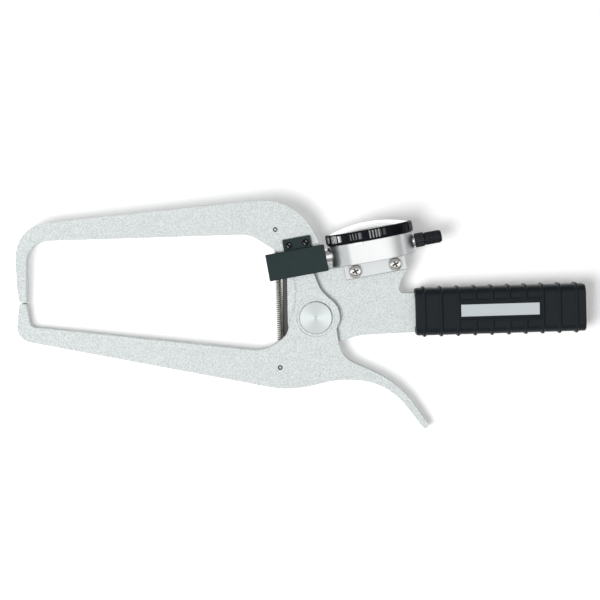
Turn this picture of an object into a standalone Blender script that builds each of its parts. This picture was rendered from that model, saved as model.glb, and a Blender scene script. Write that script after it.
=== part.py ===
"""Dial caliper gauge: two long jaws on one pivot, read by a compact dial gauge.

Origin: on the pivot axis, at the frame's flat rear face. +X points along the handle, +Z out of the front
face, towards whoever reads the tool. Everything is in metres, at real size, with the jaws closed.

Two sets of axes are used besides the tool's own. Arm axes start at the spindle's foot and gauge axes at the
dial's centre, both turned with the spindle: x along it towards the gauge, y towards the dial's face.
"""

import math

import bmesh
import bpy
from mathutils import Matrix, Vector

# Clearances and edges shared by the whole tool
MILLIMETRE = 0.001
GAP = 0.0003
OVERRUN = 0.002
SMALL_ROUND = 0.0004

# Plates: the frame and the lever overlap half and half round the pivot
JAW_THICK = 0.0095
LAP_TOP = 0.0052
LEVER_LAP_BOTTOM = LAP_TOP + GAP
RELIEF_RADIUS = 0.0197

# Jaws and trigger
JAW_REACH = 0.1400
JAW_LINE_Y = 0.0070
JAW_TIP_WIDTH = 0.0031
TIP_ROUND = 0.0012
OPENING_ANGLE = math.radians(20.5)
TRIGGER_REACH = 0.0545

# Spindle: it lies in the plates' plane, tilted up to the right
SPINDLE_TILT = math.radians(10.5)
SPINDLE_ARM = 0.0276
SPINDLE_Z = 0.0078
SPINDLE_RADIUS = 0.0020
SPINDLE_TRAVEL = SPINDLE_ARM * OPENING_ANGLE

# Gauge: its centre along the spindle, with the stem and the cover that keep their place to it
GAUGE_REACH = 0.0324
STEM_REACH = 0.0248
STEM_END = GAUGE_REACH - STEM_REACH
STEM_LAP = 0.00255
COVER_RIGHT = STEM_END + STEM_LAP

# Outline corners, each as (x, y, rounding). These are shares of the jaws' reach.
UPPER_THROAT_END_SHARES = [(-0.9886, 0.2600, 0.0757)]
UPPER_NOSE_SHARES = [(-1.0286, 0.3129, 0.1179), (-1.0200, 0.1000, 0.1429)]
LOWER_NOSE_SHARES = [(-1.0200, -0.0143, 0.1429), (-1.0193, -0.0764, 0.0536)]
LOWER_THROAT_END_SHARES = [(-0.9750, -0.0321, 0.0179)]
LOWER_TIP_SLOPE_SHARE = 0.003

# These are shares of the spindle's arm, because they lie round the pivot.
THROAT_CORNER_SHARES = [(-1.138, 1.442, 0.507)]
FRAME_LEFT_SHARES = [(-0.504, 1.040, 0.399), (-0.478, -0.489, 0.399)]
FRAME_FOOT_SHARES = [(0.217, -0.478, 0.290), (0.761, -0.312, 1.087)]
FRAME_CREST_SHARES = [(-0.373, 2.098, 0.986)]
LEVER_BELLY_SHARES = [(-0.464, -1.268, 1.630), (0.384, -1.076, 1.087)]
LEVER_LOBE_SHARES = [
    (0.435, -0.685, 0.453), (0.359, -0.192, 0.029), (0.420, -0.0435, 0.181),
    (0.420, 0.1775, 0.380), (0.083, 0.471, 0.435),
]
LEVER_ARM_SHARES = [(-0.330, 0.359, 0.906), (-0.511, -0.319, 0.254), (-0.880, -0.587, 0.580)]

# These are shares of the trigger's reach.
TRIGGER_SHARES = [
    (0.6239, -0.5541, 0.5872), (0.9596, -0.9853, 0.0239), (1.0, -0.9523, 0.0239), (0.7376, -0.5761, 0.8734),
]

# Frame: web under the gauge, and the steps that clear the cover and the lever
STEP_ABOVE_SPINDLE = 0.0049
WEB_TOP_DROP = 0.0062
WEB_CLEAR = 0.00065
WEB_START = COVER_RIGHT + WEB_CLEAR
WEB_ROUND = 0.0010
WEB_FOOT_ROUND = 0.0030
NECK_BACK = 0.00165
NECK_ALONG = COVER_RIGHT - NECK_BACK
NECK_ROUND = 0.0150
WAIST_SHARES = (0.264, 0.523)
WAIST_ROUND = 0.0100
FILLET_BACK = 0.0081
FILLET_ROUND = 0.0022
LEDGE_EDGE = -0.0160
LEDGE_TOP = 0.0225
LEDGE_BOTTOM = -0.0098
LEDGE_ROUND = 0.0012
STEM_NOTCH_END = GAUGE_REACH - STEM_REACH / 2

# Lever's head, in arm axes, and the hard pad that the spindle rests on
HEAD_FOOT_RIGHT = 0.0030
HEAD_FOOT_DROP = 0.0068
HEAD_HEEL_DROP = 0.0034
HEAD_TOP = 0.0032
HEAD_LEFT = -0.0056
HEAD_NECK_LEFT = -0.0069
HEAD_NECK_DROP = 0.0060
HEAD_ROUND = 0.0020
HEEL_ROUND = 0.0010
ARM_ROUND = 0.0150
PAD_SEAT = -0.0016
PAD_OUT = 0.0008
PAD_RADIUS = 0.0022
PAD_SHANK_RADIUS = 0.0011
PAD_SHANK_LENGTH = 0.0026

# Pivot
PIVOT_SHANK_RADIUS = 0.0030
PIVOT_BUSH_WALL = 0.0014
PIVOT_CAP_RADIUS = 0.0076
PIVOT_CAP_THICK = 0.0015
PIVOT_SINK_RADIUS = 0.0092
PIVOT_SINK_DEPTH = 0.0005
PIVOT_NUT_RADIUS = 0.0046
PIVOT_NUT_THICK = 0.0020
PIVOT_NUT_FLOOR = 0.0006

# Tension spring between the jaws, and its pins
SPRING_OUTER_RADIUS = 0.0014
SPRING_WIRE_RADIUS = 0.00024
SPRING_CURLS = 46
SPRING_CURL_POINTS = 8
SPRING_Z = 0.0026
SPRING_TOP = (-0.0194, 0.0422)
SPRING_FOOT = (-0.0170, -0.0239)
SPRING_PIN_RADIUS = 0.0010
SPRING_SLOT_LOW = 0.0009
SPRING_SLOT_HIGH = 0.0043
SPRING_ROOM = 0.0004
SPRING_SLOT_MARGIN = 0.0006
LEVER_SLOT_LENGTH = 0.0220

# Cover block over the lever's head, in arm axes
COVER_LEFT = -0.01825
COVER_HALF_WIDTH = 0.00635
COVER_FRONT = 0.01415
COVER_WALL = 0.0014
DOOR_CLEAR = 0.0015
TAB_LEFT = -0.0091
TAB_RIGHT = 0.0043
TAB_REACH = 0.0055
TAB_THICK = 0.0018
COVER_SCREW_SPACING = 0.0081
COVER_SCREW_RADIUS = 0.0008
COVER_SCREW_HEAD_RADIUS = 0.00145
COVER_SCREW_HEAD_THICK = 0.0010
COVER_SCREW_DEPTH = 0.0045

# Gauge case, in gauge axes
CASE_RADIUS = 0.0200
CASE_BACK = -0.00545
CASE_FRONT = 0.0048
CASE_BORE = 0.0160
CASE_FRONT_BORE = 0.0175
CASE_BACK_BORE = 0.0184
BACK_THICK = 0.0010
PLATE_SEAT = 0.0024
STEM_RADIUS = 0.0040
NECK_RADIUS = 0.0028
NECK_LENGTH = 0.0005

# Screws of the case's back, also used in the movement
BACK_SCREW_CIRCLE = 0.0171
BACK_SCREW_RADIUS = 0.0006
BACK_SCREW_HEAD_RADIUS = 0.0011
BACK_SCREW_HEAD_THICK = 0.0006
BACK_SCREW_DEPTH = 0.0025
BACK_SCREW_TURNS = (45, 135, 225, 315)

# Lug of the case's back, its two screws and washers
LUG_THICK = 0.0022
LUG_HALF_WIDTH = 0.0149
LUG_REACH = 0.0127
LUG_SCREW_SPACING = 0.0194
LUG_SCREW_DROP = 0.0092
LUG_SCREW_RADIUS = 0.0015
LUG_HEAD_RADIUS = 0.00295
LUG_HEAD_THICK = 0.0020
LUG_WASHER_RADIUS = 0.0034
LUG_WASHER_THICK = 0.0005
LUG_RIM_SHARE = 0.5
LUG_CROWN_SHARE = 0.72
CROSS_FLOOR_SHARE = 0.35
CROSS_ARM_SHARE = 0.55
CROSS_WIDTH_SHARE = 0.13

# Bezel with its clip, crystal and dial, in gauge axes
BEZEL_RADIUS = 0.0211
BEZEL_BOTTOM = CASE_FRONT + GAP
BEZEL_TOP = 0.0100
BEZEL_BORE = 0.0187
CRYSTAL_SEAT = 0.0091
CRYSTAL_SEAT_BORE = 0.0195
CRYSTAL_DOME = 0.0032
CRYSTAL_THICK = 0.0010
CRYSTAL_ROWS = 5
CLIP_TURN = math.radians(-18)
CLIP_SPREAD = math.radians(6)
CLIP_LENGTH = 0.0016
CLIP_THICK = 0.0007
DIAL_LEVEL = 0.0067
DIAL_THICK = 0.0004
DIAL_CENTRE_RADIUS = 0.0122
DIAL_FOOT_RADIUS = 0.0007
DIAL_FOOT_OFFSET = 0.0095

# Hands
HAND_THICK = 0.0003
COUNTER_HAND_LEVEL = DIAL_LEVEL + DIAL_THICK + GAP
COUNTER_HAND_LENGTH = 0.0024
COUNTER_HAND_HALF_WIDTH = 0.0003
POINTER_LEVEL = COUNTER_HAND_LEVEL + HAND_THICK + GAP
POINTER_LENGTH = 0.0155
POINTER_HALF_WIDTH = 0.0004
HAND_HUB_SHARE = 3
HAND_TAIL_SHARE = 0.25
HAND_TIP_SHARE = 0.25

# Movement. The counter hand turns once for its range of jaw opening, and the pointer ten times.
COUNTER_RANGE = 0.0500
RACK_PINION_PITCH_RADIUS = COUNTER_RANGE * SPINDLE_ARM / JAW_REACH / math.tau
RACK_PINION_TEETH = 12
RACK_LEVEL = 0.0015
RACK_DEPTH = 0.0003
RACK_LEAD = 0.0030
WHEEL_PITCH_RADIUS = 0.0080
WHEEL_TEETH = 60
CENTRE_PINION_PITCH_RADIUS = 0.0008
CENTRE_PINION_TEETH = 6
WHEEL_TOOTH = 0.0004
PINION_TOOTH = 0.0002
WHEEL_THICK = 0.0004
WHEEL_LEVEL = 0.0035
WHEEL_UP = RACK_LEVEL + GAP / 2 + RACK_PINION_PITCH_RADIUS
WHEEL_ALONG = math.sqrt((WHEEL_PITCH_RADIUS + CENTRE_PINION_PITCH_RADIUS) ** 2 - WHEEL_UP ** 2)
ARBOR_RADIUS = 0.0005
CENTRE_STAFF_RADIUS = 0.0004
MOVEMENT_PLATE_LOW = PLATE_SEAT + GAP / 2
MOVEMENT_PLATE_THICK = 0.0007
MOVEMENT_PLATE_TOP = MOVEMENT_PLATE_LOW + MOVEMENT_PLATE_THICK
BRIDGE_LEVEL = 0.0048
BRIDGE_THICK = 0.0006
BRIDGE_HALF_WIDTH = 0.0120
BRIDGE_HALF_HEIGHT = 0.0150
BRIDGE_ROUND = 0.0030
PILLAR_RADIUS = 0.0013
PILLAR_OFFSET = 0.0125

# Hairspring on the take-up wheel
HAIR_LEVEL = 0.0042
HAIR_HIGH = 0.0003
HAIR_THICK = 0.0002
HAIR_START_RADIUS = 0.0010
HAIR_PITCH = 0.0009
HAIR_TURNS = 3
HAIR_TURN_POINTS = 10

# Return spring of the spindle, between a post in the case and the spindle's guide pin
RETURN_SPRING_DROP = 0.0060
RETURN_SPRING_RADIUS = 0.0008
SPRING_POST_ALONG = -0.0130
SPRING_POST_RADIUS = 0.0006
SPRING_POST_END = -0.0016
GUIDE_PIN_ALONG = 0.0040
GUIDE_PIN_RADIUS = 0.0006
GUIDE_PIN_END = 0.0070

# Contact point at the spindle's foot, and the cap on the far side of the case
CONTACT_LENGTH = 0.0052
CONTACT_BALL_RADIUS = 0.0012
CONTACT_ROWS = 4
CAP_REACH = 0.0338
CAP_RADIUS = 0.00305
CAP_COLLAR_RADIUS = 0.0034
CAP_COLLAR_LENGTH = 0.0045
CAP_END_WALL = 0.0007

# Handle: the tang, the ribbed sleeve over it and the bare name plate
GRIP_START = (0.0478, 0.0025)
GRIP_TILT = math.radians(1.7)
GRIP_LENGTH = 0.0816
GRIP_HALF_WIDTH = 0.0113
GRIP_HALF_THICK = 0.0078
GRIP_CORNER = 0.0036
RIB_COUNT = 10
RIB_PITCH = 0.0081
RIB_FIRST = 0.0041
RIB_HEIGHT = 0.0008
RIB_LENGTH = 0.0018
TANG_TOP_Y = 0.0115
TANG_FOOT_Y = -0.0072
TANG_HALF_WIDTH = 0.0070
TANG_LENGTH = 0.0700
TANG_END_ROUND = 0.0020
PLATE_START = 0.0217
PLATE_LENGTH = 0.0375
PLATE_HALF_WIDTH = 0.0029
PLATE_THICK = 0.0006
PLATE_MIDDLE = 0.0003

# Fineness of round shapes
FINE_SIDES = 48
ROUND_SIDES = 28
HEAD_SIDES = 20
SMALL_SIDES = 12
GRIP_CORNER_STEPS = 2
ARC_STEP = math.radians(20)
ARC_SAG = 0.00005
FILLET_LIMIT_SHARE = 0.98


# Scene and materials


def clear_scene():
    for item in list(bpy.data.objects):
        bpy.data.objects.remove(item, do_unlink=True)


def material(name, colour, roughness, metallic, alpha=1.0):
    made = bpy.data.materials.new(name)
    made.use_nodes = True
    shader = made.node_tree.nodes["Principled BSDF"]
    shader.inputs["Base Color"].default_value = (*colour, 1.0)
    shader.inputs["Roughness"].default_value = roughness
    shader.inputs["Metallic"].default_value = metallic
    shader.inputs["Alpha"].default_value = alpha
    return made


def make_object(name, body, mat=None, parent=None):
    """A mesh object from a bmesh, which is used up."""
    bmesh.ops.recalc_face_normals(body, faces=body.faces)
    mesh = bpy.data.meshes.new(name)
    body.to_mesh(mesh)
    body.free()
    made = bpy.data.objects.new(name, mesh)
    bpy.context.scene.collection.objects.link(made)
    if mat:
        mesh.materials.append(mat)
    made.parent = parent
    return made


def set_axes(name, origin, turn=0.0, parent=None):
    axes = bpy.data.objects.new(name, None)
    bpy.context.scene.collection.objects.link(axes)
    axes.location = origin
    axes.rotation_euler.z = turn
    axes.parent = parent
    return axes


def smooth(made, angle=math.radians(35)):
    made.data.shade_smooth()
    made.data.set_sharp_from_angle(angle=angle)
    return made


def use_body(made, body, name, operation, parent=None):
    """Cuts a body out of an object, or joins it on, as a Boolean whose other shape is hidden."""
    other = make_object(made.name + "_" + name, body, parent=parent or made.parent)
    other.hide_render = True
    other.display_type = "WIRE"
    step = made.modifiers.new(name, "BOOLEAN")
    step.operation = operation
    step.object = other


def cut(made, body, name, parent=None):
    use_body(made, body, name, "DIFFERENCE", parent)


def joined(name, mat, parent, bodies):
    """One solid from overlapping bodies: the first, with the rest joined to it."""
    made = make_object(name, bodies[0], mat, parent)
    for index, body in enumerate(bodies[1:]):
        use_body(made, body, f"join_{index}", "UNION")
    return made


# Outlines and basic bodies


def scaled(shares, size):
    return [(x * size, y * size, rounding * size) for x, y, rounding in shares]


def rounded(corners, arc_steps=0):
    """An outline from (x, y, radius) corners, each rounded as far as its two sides allow."""
    spots = [Vector(corner[:2]) for corner in corners]
    count = len(spots)
    ways = []
    reaches = []
    for index, here in enumerate(spots):
        back = (spots[index - 1] - here).normalized()
        ahead = (spots[(index + 1) % count] - here).normalized()
        turn = math.pi - back.angle(ahead)
        ways.append((back, ahead, turn))
        reaches.append(corners[index][2] * math.tan(turn / 2))
    for index in range(count):
        after = (index + 1) % count
        room = (spots[after] - spots[index]).length * FILLET_LIMIT_SHARE
        wanted = reaches[index] + reaches[after]
        if wanted > room:
            reaches[index] *= room / wanted
            reaches[after] *= room / wanted
    points = []
    for here, (back, ahead, turn), reach in zip(spots, ways, reaches):
        if not reach or turn < ARC_STEP / 5:
            points.append(here)
            continue
        radius = reach / math.tan(turn / 2)
        centre = here + (back + ahead).normalized() * radius / math.cos(turn / 2)
        start = here + back * reach - centre
        side = 1 if back.cross(ahead) < 0 else -1
        finest = min(ARC_STEP, math.sqrt(8 * ARC_SAG / radius))
        steps = arc_steps or math.ceil(turn / finest)
        for step in range(steps + 1):
            points.append(centre + Matrix.Rotation(side * turn * step / steps, 2) @ start)
    return points


def add_prism(body, outline, low, high, axis="z"):
    """A closed prism from a flat outline, between two levels along z, or along y from an (x, z) outline."""
    rings = []
    for level in (low, high):
        if axis == "y":
            rings.append([body.verts.new((x, level, y)) for x, y in outline])
        else:
            rings.append([body.verts.new((x, y, level)) for x, y in outline])
    bottom, top = rings
    body.faces.new(bottom[::-1])
    body.faces.new(top)
    for index in range(len(outline)):
        after = (index + 1) % len(outline)
        body.faces.new((bottom[index], bottom[after], top[after], top[index]))


def add_box(body, low, high):
    outline = [(low[0], low[1]), (high[0], low[1]), (high[0], high[1]), (low[0], high[1])]
    add_prism(body, outline, low[2], high[2])


def ring_point(axis, along, radius, angle):
    """A point round an axis: "x", "y" or "z"."""
    across = radius * math.cos(angle)
    up = radius * math.sin(angle)
    if axis == "x":
        return Vector((along, across, up))
    if axis == "y":
        return Vector((up, along, across))
    return Vector((across, up, along))


def add_turned(body, profile, axis="z", centre=(0, 0, 0), sides=ROUND_SIDES):
    """A turned solid. The profile is a closed list of (radius, along), and a zero radius lies on the axis."""
    middle = Vector(centre)
    rings = []
    for radius, along in profile:
        if radius:
            rings.append([
                body.verts.new(middle + ring_point(axis, along, radius, math.tau * side / sides))
                for side in range(sides)
            ])
        else:
            rings.append([body.verts.new(middle + ring_point(axis, along, 0, 0))] * sides)
    for index, ring in enumerate(rings):
        after = rings[(index + 1) % len(rings)]
        for side in range(sides):
            other = (side + 1) % sides
            face = list(dict.fromkeys((ring[side], ring[other], after[other], after[side])))
            if len(face) > 2:
                body.faces.new(face)


def add_rod(body, radius, low, high, axis="z", centre=(0, 0, 0), sides=SMALL_SIDES):
    add_turned(body, [(0, low), (radius, low), (radius, high), (0, high)], axis, centre, sides)


def add_tube(body, outer, inner, low, high, axis="z", centre=(0, 0, 0), sides=ROUND_SIDES):
    profile = [(inner, low), (outer, low), (outer, high), (inner, high)]
    add_turned(body, profile, axis, centre, sides)


def add_screw(body, tip, seat, head_end, shank_radius, head_radius, axis="z", centre=(0, 0, 0)):
    """A screw with a plain round head, from its tip to the end of its head."""
    add_turned(body, [
        (0, tip),
        (shank_radius, tip),
        (shank_radius, seat),
        (head_radius, seat),
        (head_radius, head_end),
        (0, head_end),
    ], axis, centre, SMALL_SIDES)


# Places


def spindle_foot():
    return Vector((-math.sin(SPINDLE_TILT), math.cos(SPINDLE_TILT))) * SPINDLE_ARM


def from_arm(along, out):
    """The tool's own x and y of a point in arm axes."""
    return Matrix.Rotation(SPINDLE_TILT, 2) @ Vector((along, out)) + spindle_foot()


def from_grip(along, across):
    """The tool's own x and y of a point along the handle."""
    return Matrix.Rotation(GRIP_TILT, 2) @ Vector((along, across)) + Vector(GRIP_START)


def tip_x(inner):
    outer_edge = -(JAW_REACH + JAW_TIP_WIDTH / 2)
    return outer_edge + (JAW_TIP_WIDTH if inner else 0)


def spring_line(angle):
    """The spring's two ends with the lever turned by an angle."""
    foot = Matrix.Rotation(angle, 2) @ Vector(SPRING_FOOT)
    return Vector(SPRING_TOP), foot


def lug_screw_alongs():
    return [side * LUG_SCREW_SPACING / 2 for side in (-1, 1)]


def lug_screw_places():
    return [from_arm(GAUGE_REACH + along, -LUG_SCREW_DROP) for along in lug_screw_alongs()]


def cover_screw_places():
    """In arm axes, on the cover's tab."""
    middle = (TAB_LEFT + TAB_RIGHT) / 2
    out = COVER_HALF_WIDTH + TAB_REACH / 2 - GAP
    return [(middle + side * COVER_SCREW_SPACING / 2, out) for side in (-1, 1)]


def back_screw_places():
    """In gauge axes, round the case's back."""
    angles = [math.radians(turn) for turn in BACK_SCREW_TURNS]
    return [(BACK_SCREW_CIRCLE * math.cos(angle), 0, BACK_SCREW_CIRCLE * math.sin(angle)) for angle in angles]


# Frame


def frame_outline():
    """Upper jaw, web and tang, anticlockwise from the jaw's tip."""
    tip_y = JAW_LINE_Y + GAP / 2
    shoulder = from_grip(-GAP, 0).x
    web_end = GAUGE_REACH + LUG_HALF_WIDTH
    web_foot = from_arm(web_end, -LUG_REACH - GAP)
    fillet = Vector((shoulder - FILLET_BACK, TANG_TOP_Y))
    waist = fillet + (web_foot - fillet) * Vector(WAIST_SHARES)
    return rounded([
        (tip_x(False), tip_y, TIP_ROUND),
        (tip_x(True), tip_y, SMALL_ROUND),
        *scaled(UPPER_THROAT_END_SHARES, JAW_REACH),
        *scaled(THROAT_CORNER_SHARES + FRAME_LEFT_SHARES + FRAME_FOOT_SHARES, SPINDLE_ARM),
        (shoulder, TANG_FOOT_Y, 0),
        (*from_grip(-GAP, -TANG_HALF_WIDTH), 0),
        (*from_grip(TANG_LENGTH, -TANG_HALF_WIDTH), TANG_END_ROUND),
        (*from_grip(TANG_LENGTH, TANG_HALF_WIDTH), TANG_END_ROUND),
        (*from_grip(-GAP, TANG_HALF_WIDTH), 0),
        (shoulder, TANG_TOP_Y, 0),
        (*fillet, FILLET_ROUND),
        (*waist, WAIST_ROUND),
        (*web_foot, WEB_FOOT_ROUND),
        (*from_arm(web_end, -WEB_TOP_DROP), WEB_ROUND),
        (*from_arm(WEB_START, -WEB_TOP_DROP), WEB_ROUND),
        (*from_arm(NECK_ALONG, COVER_HALF_WIDTH), NECK_ROUND),
        *scaled(FRAME_CREST_SHARES, SPINDLE_ARM),
        *scaled(UPPER_NOSE_SHARES, JAW_REACH),
    ])


def frame_spring_slot():
    """Room in the frame for the spring from rest to full opening, as a flat outline."""
    top, foot = spring_line(OPENING_ANGLE)
    along = (foot - top).normalized()
    side = Vector((-along.y, along.x)) * (SPRING_OUTER_RADIUS + SPRING_ROOM)
    left = top.x - SPRING_OUTER_RADIUS - SPRING_SLOT_MARGIN
    head = top.y + SPRING_OUTER_RADIUS + SPRING_ROOM + SPRING_SLOT_MARGIN
    return [(left, head), (left, foot.y), foot + side, top + side, (top.x + side.x, head)]


def make_ledge():
    """The frame's thin rear skin reaches out to the left, behind the spring."""
    edge_top, edge_foot = [x * SPINDLE_ARM + LEDGE_ROUND for x, _, _ in FRAME_LEFT_SHARES]
    ledge = bmesh.new()
    add_prism(ledge, rounded([
        (LEDGE_EDGE, LEDGE_BOTTOM, LEDGE_ROUND),
        (edge_foot, LEDGE_BOTTOM, 0),
        (edge_top, LEDGE_TOP, 0),
        (LEDGE_EDGE, LEDGE_TOP, LEDGE_ROUND),
    ]), 0, SPRING_SLOT_LOW)
    return ledge


def cut_lap(frame):
    """Below the cover's step the frame is only as thick as the lap, which leaves room for the lever."""
    lap = bmesh.new()
    far_left = from_arm(-JAW_REACH, STEP_ABOVE_SPINDLE)
    far_right = from_arm(GRIP_START[0] + TANG_LENGTH + 2 * TANG_HALF_WIDTH, STEP_ABOVE_SPINDLE)
    left = LEDGE_EDGE - RELIEF_RADIUS
    step_y = far_left.y + (far_right.y - far_left.y) * (left - far_left.x) / (far_right.x - far_left.x)
    outline = [(left, -JAW_REACH), (far_right.x, -JAW_REACH), far_right, (left, step_y)]
    add_prism(lap, outline, LAP_TOP, JAW_THICK + OVERRUN)
    cut(frame, lap, "lap")


def cut_stem_notch(frame):
    notch = bmesh.new()
    left = STEM_END - GAP
    half = STEM_RADIUS + GAP
    outline = [
        from_arm(left, -half), from_arm(STEM_NOTCH_END, -half),
        from_arm(STEM_NOTCH_END, half), from_arm(left, half),
    ]
    add_prism(notch, outline, SPINDLE_Z - half, LAP_TOP + OVERRUN)
    cut(frame, notch, "stem_notch")


def cut_frame_holes(frame):
    holes = bmesh.new()
    add_rod(holes, PIVOT_SHANK_RADIUS + GAP, -OVERRUN, LAP_TOP + OVERRUN, sides=ROUND_SIDES)
    for place in lug_screw_places():
        add_rod(holes, LUG_SCREW_RADIUS + GAP, -OVERRUN, LAP_TOP + OVERRUN, centre=(*place, 0))
    floor = JAW_THICK - COVER_SCREW_DEPTH
    for along, out in cover_screw_places():
        centre = (*from_arm(along, out), 0)
        add_rod(holes, COVER_SCREW_RADIUS + GAP, floor, JAW_THICK + OVERRUN, centre=centre)
    add_rod(holes, SPRING_PIN_RADIUS + GAP / 2, -OVERRUN, JAW_THICK + OVERRUN, centre=(*SPRING_TOP, 0))
    cut(frame, holes, "holes")
    sink = bmesh.new()
    add_rod(sink, PIVOT_NUT_RADIUS + GAP, -OVERRUN, PIVOT_NUT_THICK + GAP, sides=ROUND_SIDES)
    cut(frame, sink, "nut_sink")


def make_frame(mat):
    body = bmesh.new()
    add_prism(body, frame_outline(), 0, JAW_THICK)
    frame = joined("fixed_frame", mat, None, [body, make_ledge()])
    cut_lap(frame)
    slot = bmesh.new()
    add_prism(slot, frame_spring_slot(), SPRING_SLOT_LOW, SPRING_SLOT_HIGH)
    cut(frame, slot, "spring_slot")
    cut_stem_notch(frame)
    cut_frame_holes(frame)


# Lever


def lever_outline():
    """Lower jaw, trigger, lobe and arm, anticlockwise from the jaw's tip."""
    tip_y = JAW_LINE_Y - GAP / 2
    return rounded([
        (tip_x(False), tip_y, TIP_ROUND),
        *scaled(LOWER_NOSE_SHARES, JAW_REACH),
        *scaled(LEVER_BELLY_SHARES, SPINDLE_ARM),
        *scaled(TRIGGER_SHARES, TRIGGER_REACH),
        *scaled(LEVER_LOBE_SHARES, SPINDLE_ARM),
        (*from_arm(HEAD_FOOT_RIGHT, -HEAD_FOOT_DROP), HEAD_ROUND),
        (*from_arm(PAD_SEAT, -HEAD_HEEL_DROP), HEEL_ROUND),
        (*from_arm(PAD_SEAT, HEAD_TOP), SMALL_ROUND),
        (*from_arm(HEAD_LEFT, HEAD_TOP), HEAD_ROUND),
        (*from_arm(HEAD_NECK_LEFT, -HEAD_NECK_DROP), ARM_ROUND),
        *scaled(LEVER_ARM_SHARES, SPINDLE_ARM),
        *scaled(LOWER_THROAT_END_SHARES, JAW_REACH),
        (tip_x(True), tip_y - LOWER_TIP_SLOPE_SHARE * JAW_REACH, SMALL_ROUND),
    ])


def relief_outline():
    """Where the lever is cut away behind: round the pivot and all along its arm."""
    top = SPINDLE_ARM + CASE_RADIUS
    points = [(RELIEF_RADIUS, top), (-RELIEF_RADIUS, top)]
    for step in range(ROUND_SIDES + 1):
        angle = math.pi + math.pi * step / ROUND_SIDES
        points.append((RELIEF_RADIUS * math.cos(angle), RELIEF_RADIUS * math.sin(angle)))
    return points


def lever_spring_slot():
    """Room in the lever for the spring's foot, which leans over as the lever turns."""
    top, foot = spring_line(OPENING_ANGLE)
    along = (Matrix.Rotation(-OPENING_ANGLE, 2) @ (top - foot)).normalized()
    pin = Vector(SPRING_FOOT)
    reach = SPRING_OUTER_RADIUS + SPRING_ROOM
    side = Vector((along.y, -along.x)) * reach
    left = pin.x - reach - SPRING_SLOT_MARGIN
    low = pin.y - reach - SPRING_SLOT_MARGIN
    high = pin + along * LEVER_SLOT_LENGTH
    return [(left, low), (pin.x + side.x, low), pin + side, high + side, (left, high.y)]


def make_lever(mat, lever_axes):
    body = bmesh.new()
    add_prism(body, lever_outline(), 0, JAW_THICK)
    lever = make_object("lever", body, mat)

    relief = bmesh.new()
    add_prism(relief, relief_outline(), -OVERRUN, LEVER_LAP_BOTTOM)
    cut(lever, relief, "lap_relief")

    slot = bmesh.new()
    add_prism(slot, lever_spring_slot(), SPRING_SLOT_LOW, SPRING_SLOT_HIGH)
    cut(lever, slot, "spring_slot")

    holes = bmesh.new()
    bush = PIVOT_SHANK_RADIUS + GAP + PIVOT_BUSH_WALL
    add_rod(holes, bush + GAP, 0, JAW_THICK + OVERRUN, sides=ROUND_SIDES)
    add_rod(holes, SPRING_PIN_RADIUS + GAP / 2, -OVERRUN, JAW_THICK + OVERRUN, centre=(*SPRING_FOOT, 0))
    cut(lever, holes, "holes")

    sink = bmesh.new()
    add_rod(sink, PIVOT_SINK_RADIUS, JAW_THICK - PIVOT_SINK_DEPTH, JAW_THICK + OVERRUN, sides=ROUND_SIDES)
    cut(lever, sink, "cap_sink")

    pad_hole = bmesh.new()
    low = PAD_SEAT - PAD_SHANK_LENGTH - GAP
    add_rod(pad_hole, PAD_SHANK_RADIUS + GAP, low, PAD_SEAT + OVERRUN, "x", pad_centre())
    cut(lever, pad_hole, "pad_hole", lever_axes)


def pad_centre():
    """In lever axes, which start at the pivot and turn with the spindle's tilt."""
    return (0, SPINDLE_ARM + PAD_OUT, SPINDLE_Z)


def make_lever_pad(lever_axes, mat):
    """A hard pin in the lever's head. Its flat face meets the spindle's contact point."""
    pad = bmesh.new()
    shank_end = PAD_SEAT - PAD_SHANK_LENGTH
    seat = PAD_SEAT + GAP
    add_screw(pad, shank_end, seat, 0, PAD_SHANK_RADIUS, PAD_RADIUS, "x", pad_centre())
    smooth(make_object("lever_pad", pad, mat, lever_axes))


# Pivot


def make_pivot(steel, bronze):
    """The bolt's cap holds the lever down. Its nut is closed behind, flush with the frame's rear face."""
    bolt = bmesh.new()
    tip = PIVOT_NUT_FLOOR + GAP
    seat = JAW_THICK - PIVOT_SINK_DEPTH + GAP
    top = seat + PIVOT_CAP_THICK
    add_turned(bolt, [
        (0, tip),
        (PIVOT_SHANK_RADIUS, tip),
        (PIVOT_SHANK_RADIUS, seat),
        (PIVOT_CAP_RADIUS, seat),
        (PIVOT_CAP_RADIUS, top - SMALL_ROUND),
        (PIVOT_CAP_RADIUS - SMALL_ROUND, top),
        (0, top),
    ])
    smooth(make_object("pivot_bolt", bolt, steel))

    inner = PIVOT_SHANK_RADIUS + GAP
    bush = bmesh.new()
    add_tube(bush, inner + PIVOT_BUSH_WALL, inner, LEVER_LAP_BOTTOM, seat - GAP)
    smooth(make_object("pivot_bush", bush, bronze))

    nut = bmesh.new()
    add_turned(nut, [
        (0, 0),
        (PIVOT_NUT_RADIUS, 0),
        (PIVOT_NUT_RADIUS, PIVOT_NUT_THICK),
        (inner, PIVOT_NUT_THICK),
        (inner, PIVOT_NUT_FLOOR),
        (0, PIVOT_NUT_FLOOR),
    ], sides=SMALL_SIDES)
    make_object("pivot_nut", nut, steel)


# Tension spring and its pins


def make_spring_pins(mat):
    for name, place in (("upper_spring_pin", SPRING_TOP), ("lower_spring_pin", SPRING_FOOT)):
        body = bmesh.new()
        add_rod(body, SPRING_PIN_RADIUS, GAP, JAW_THICK - GAP / 2, centre=(*place, 0))
        smooth(make_object(name, body, mat))


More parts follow.
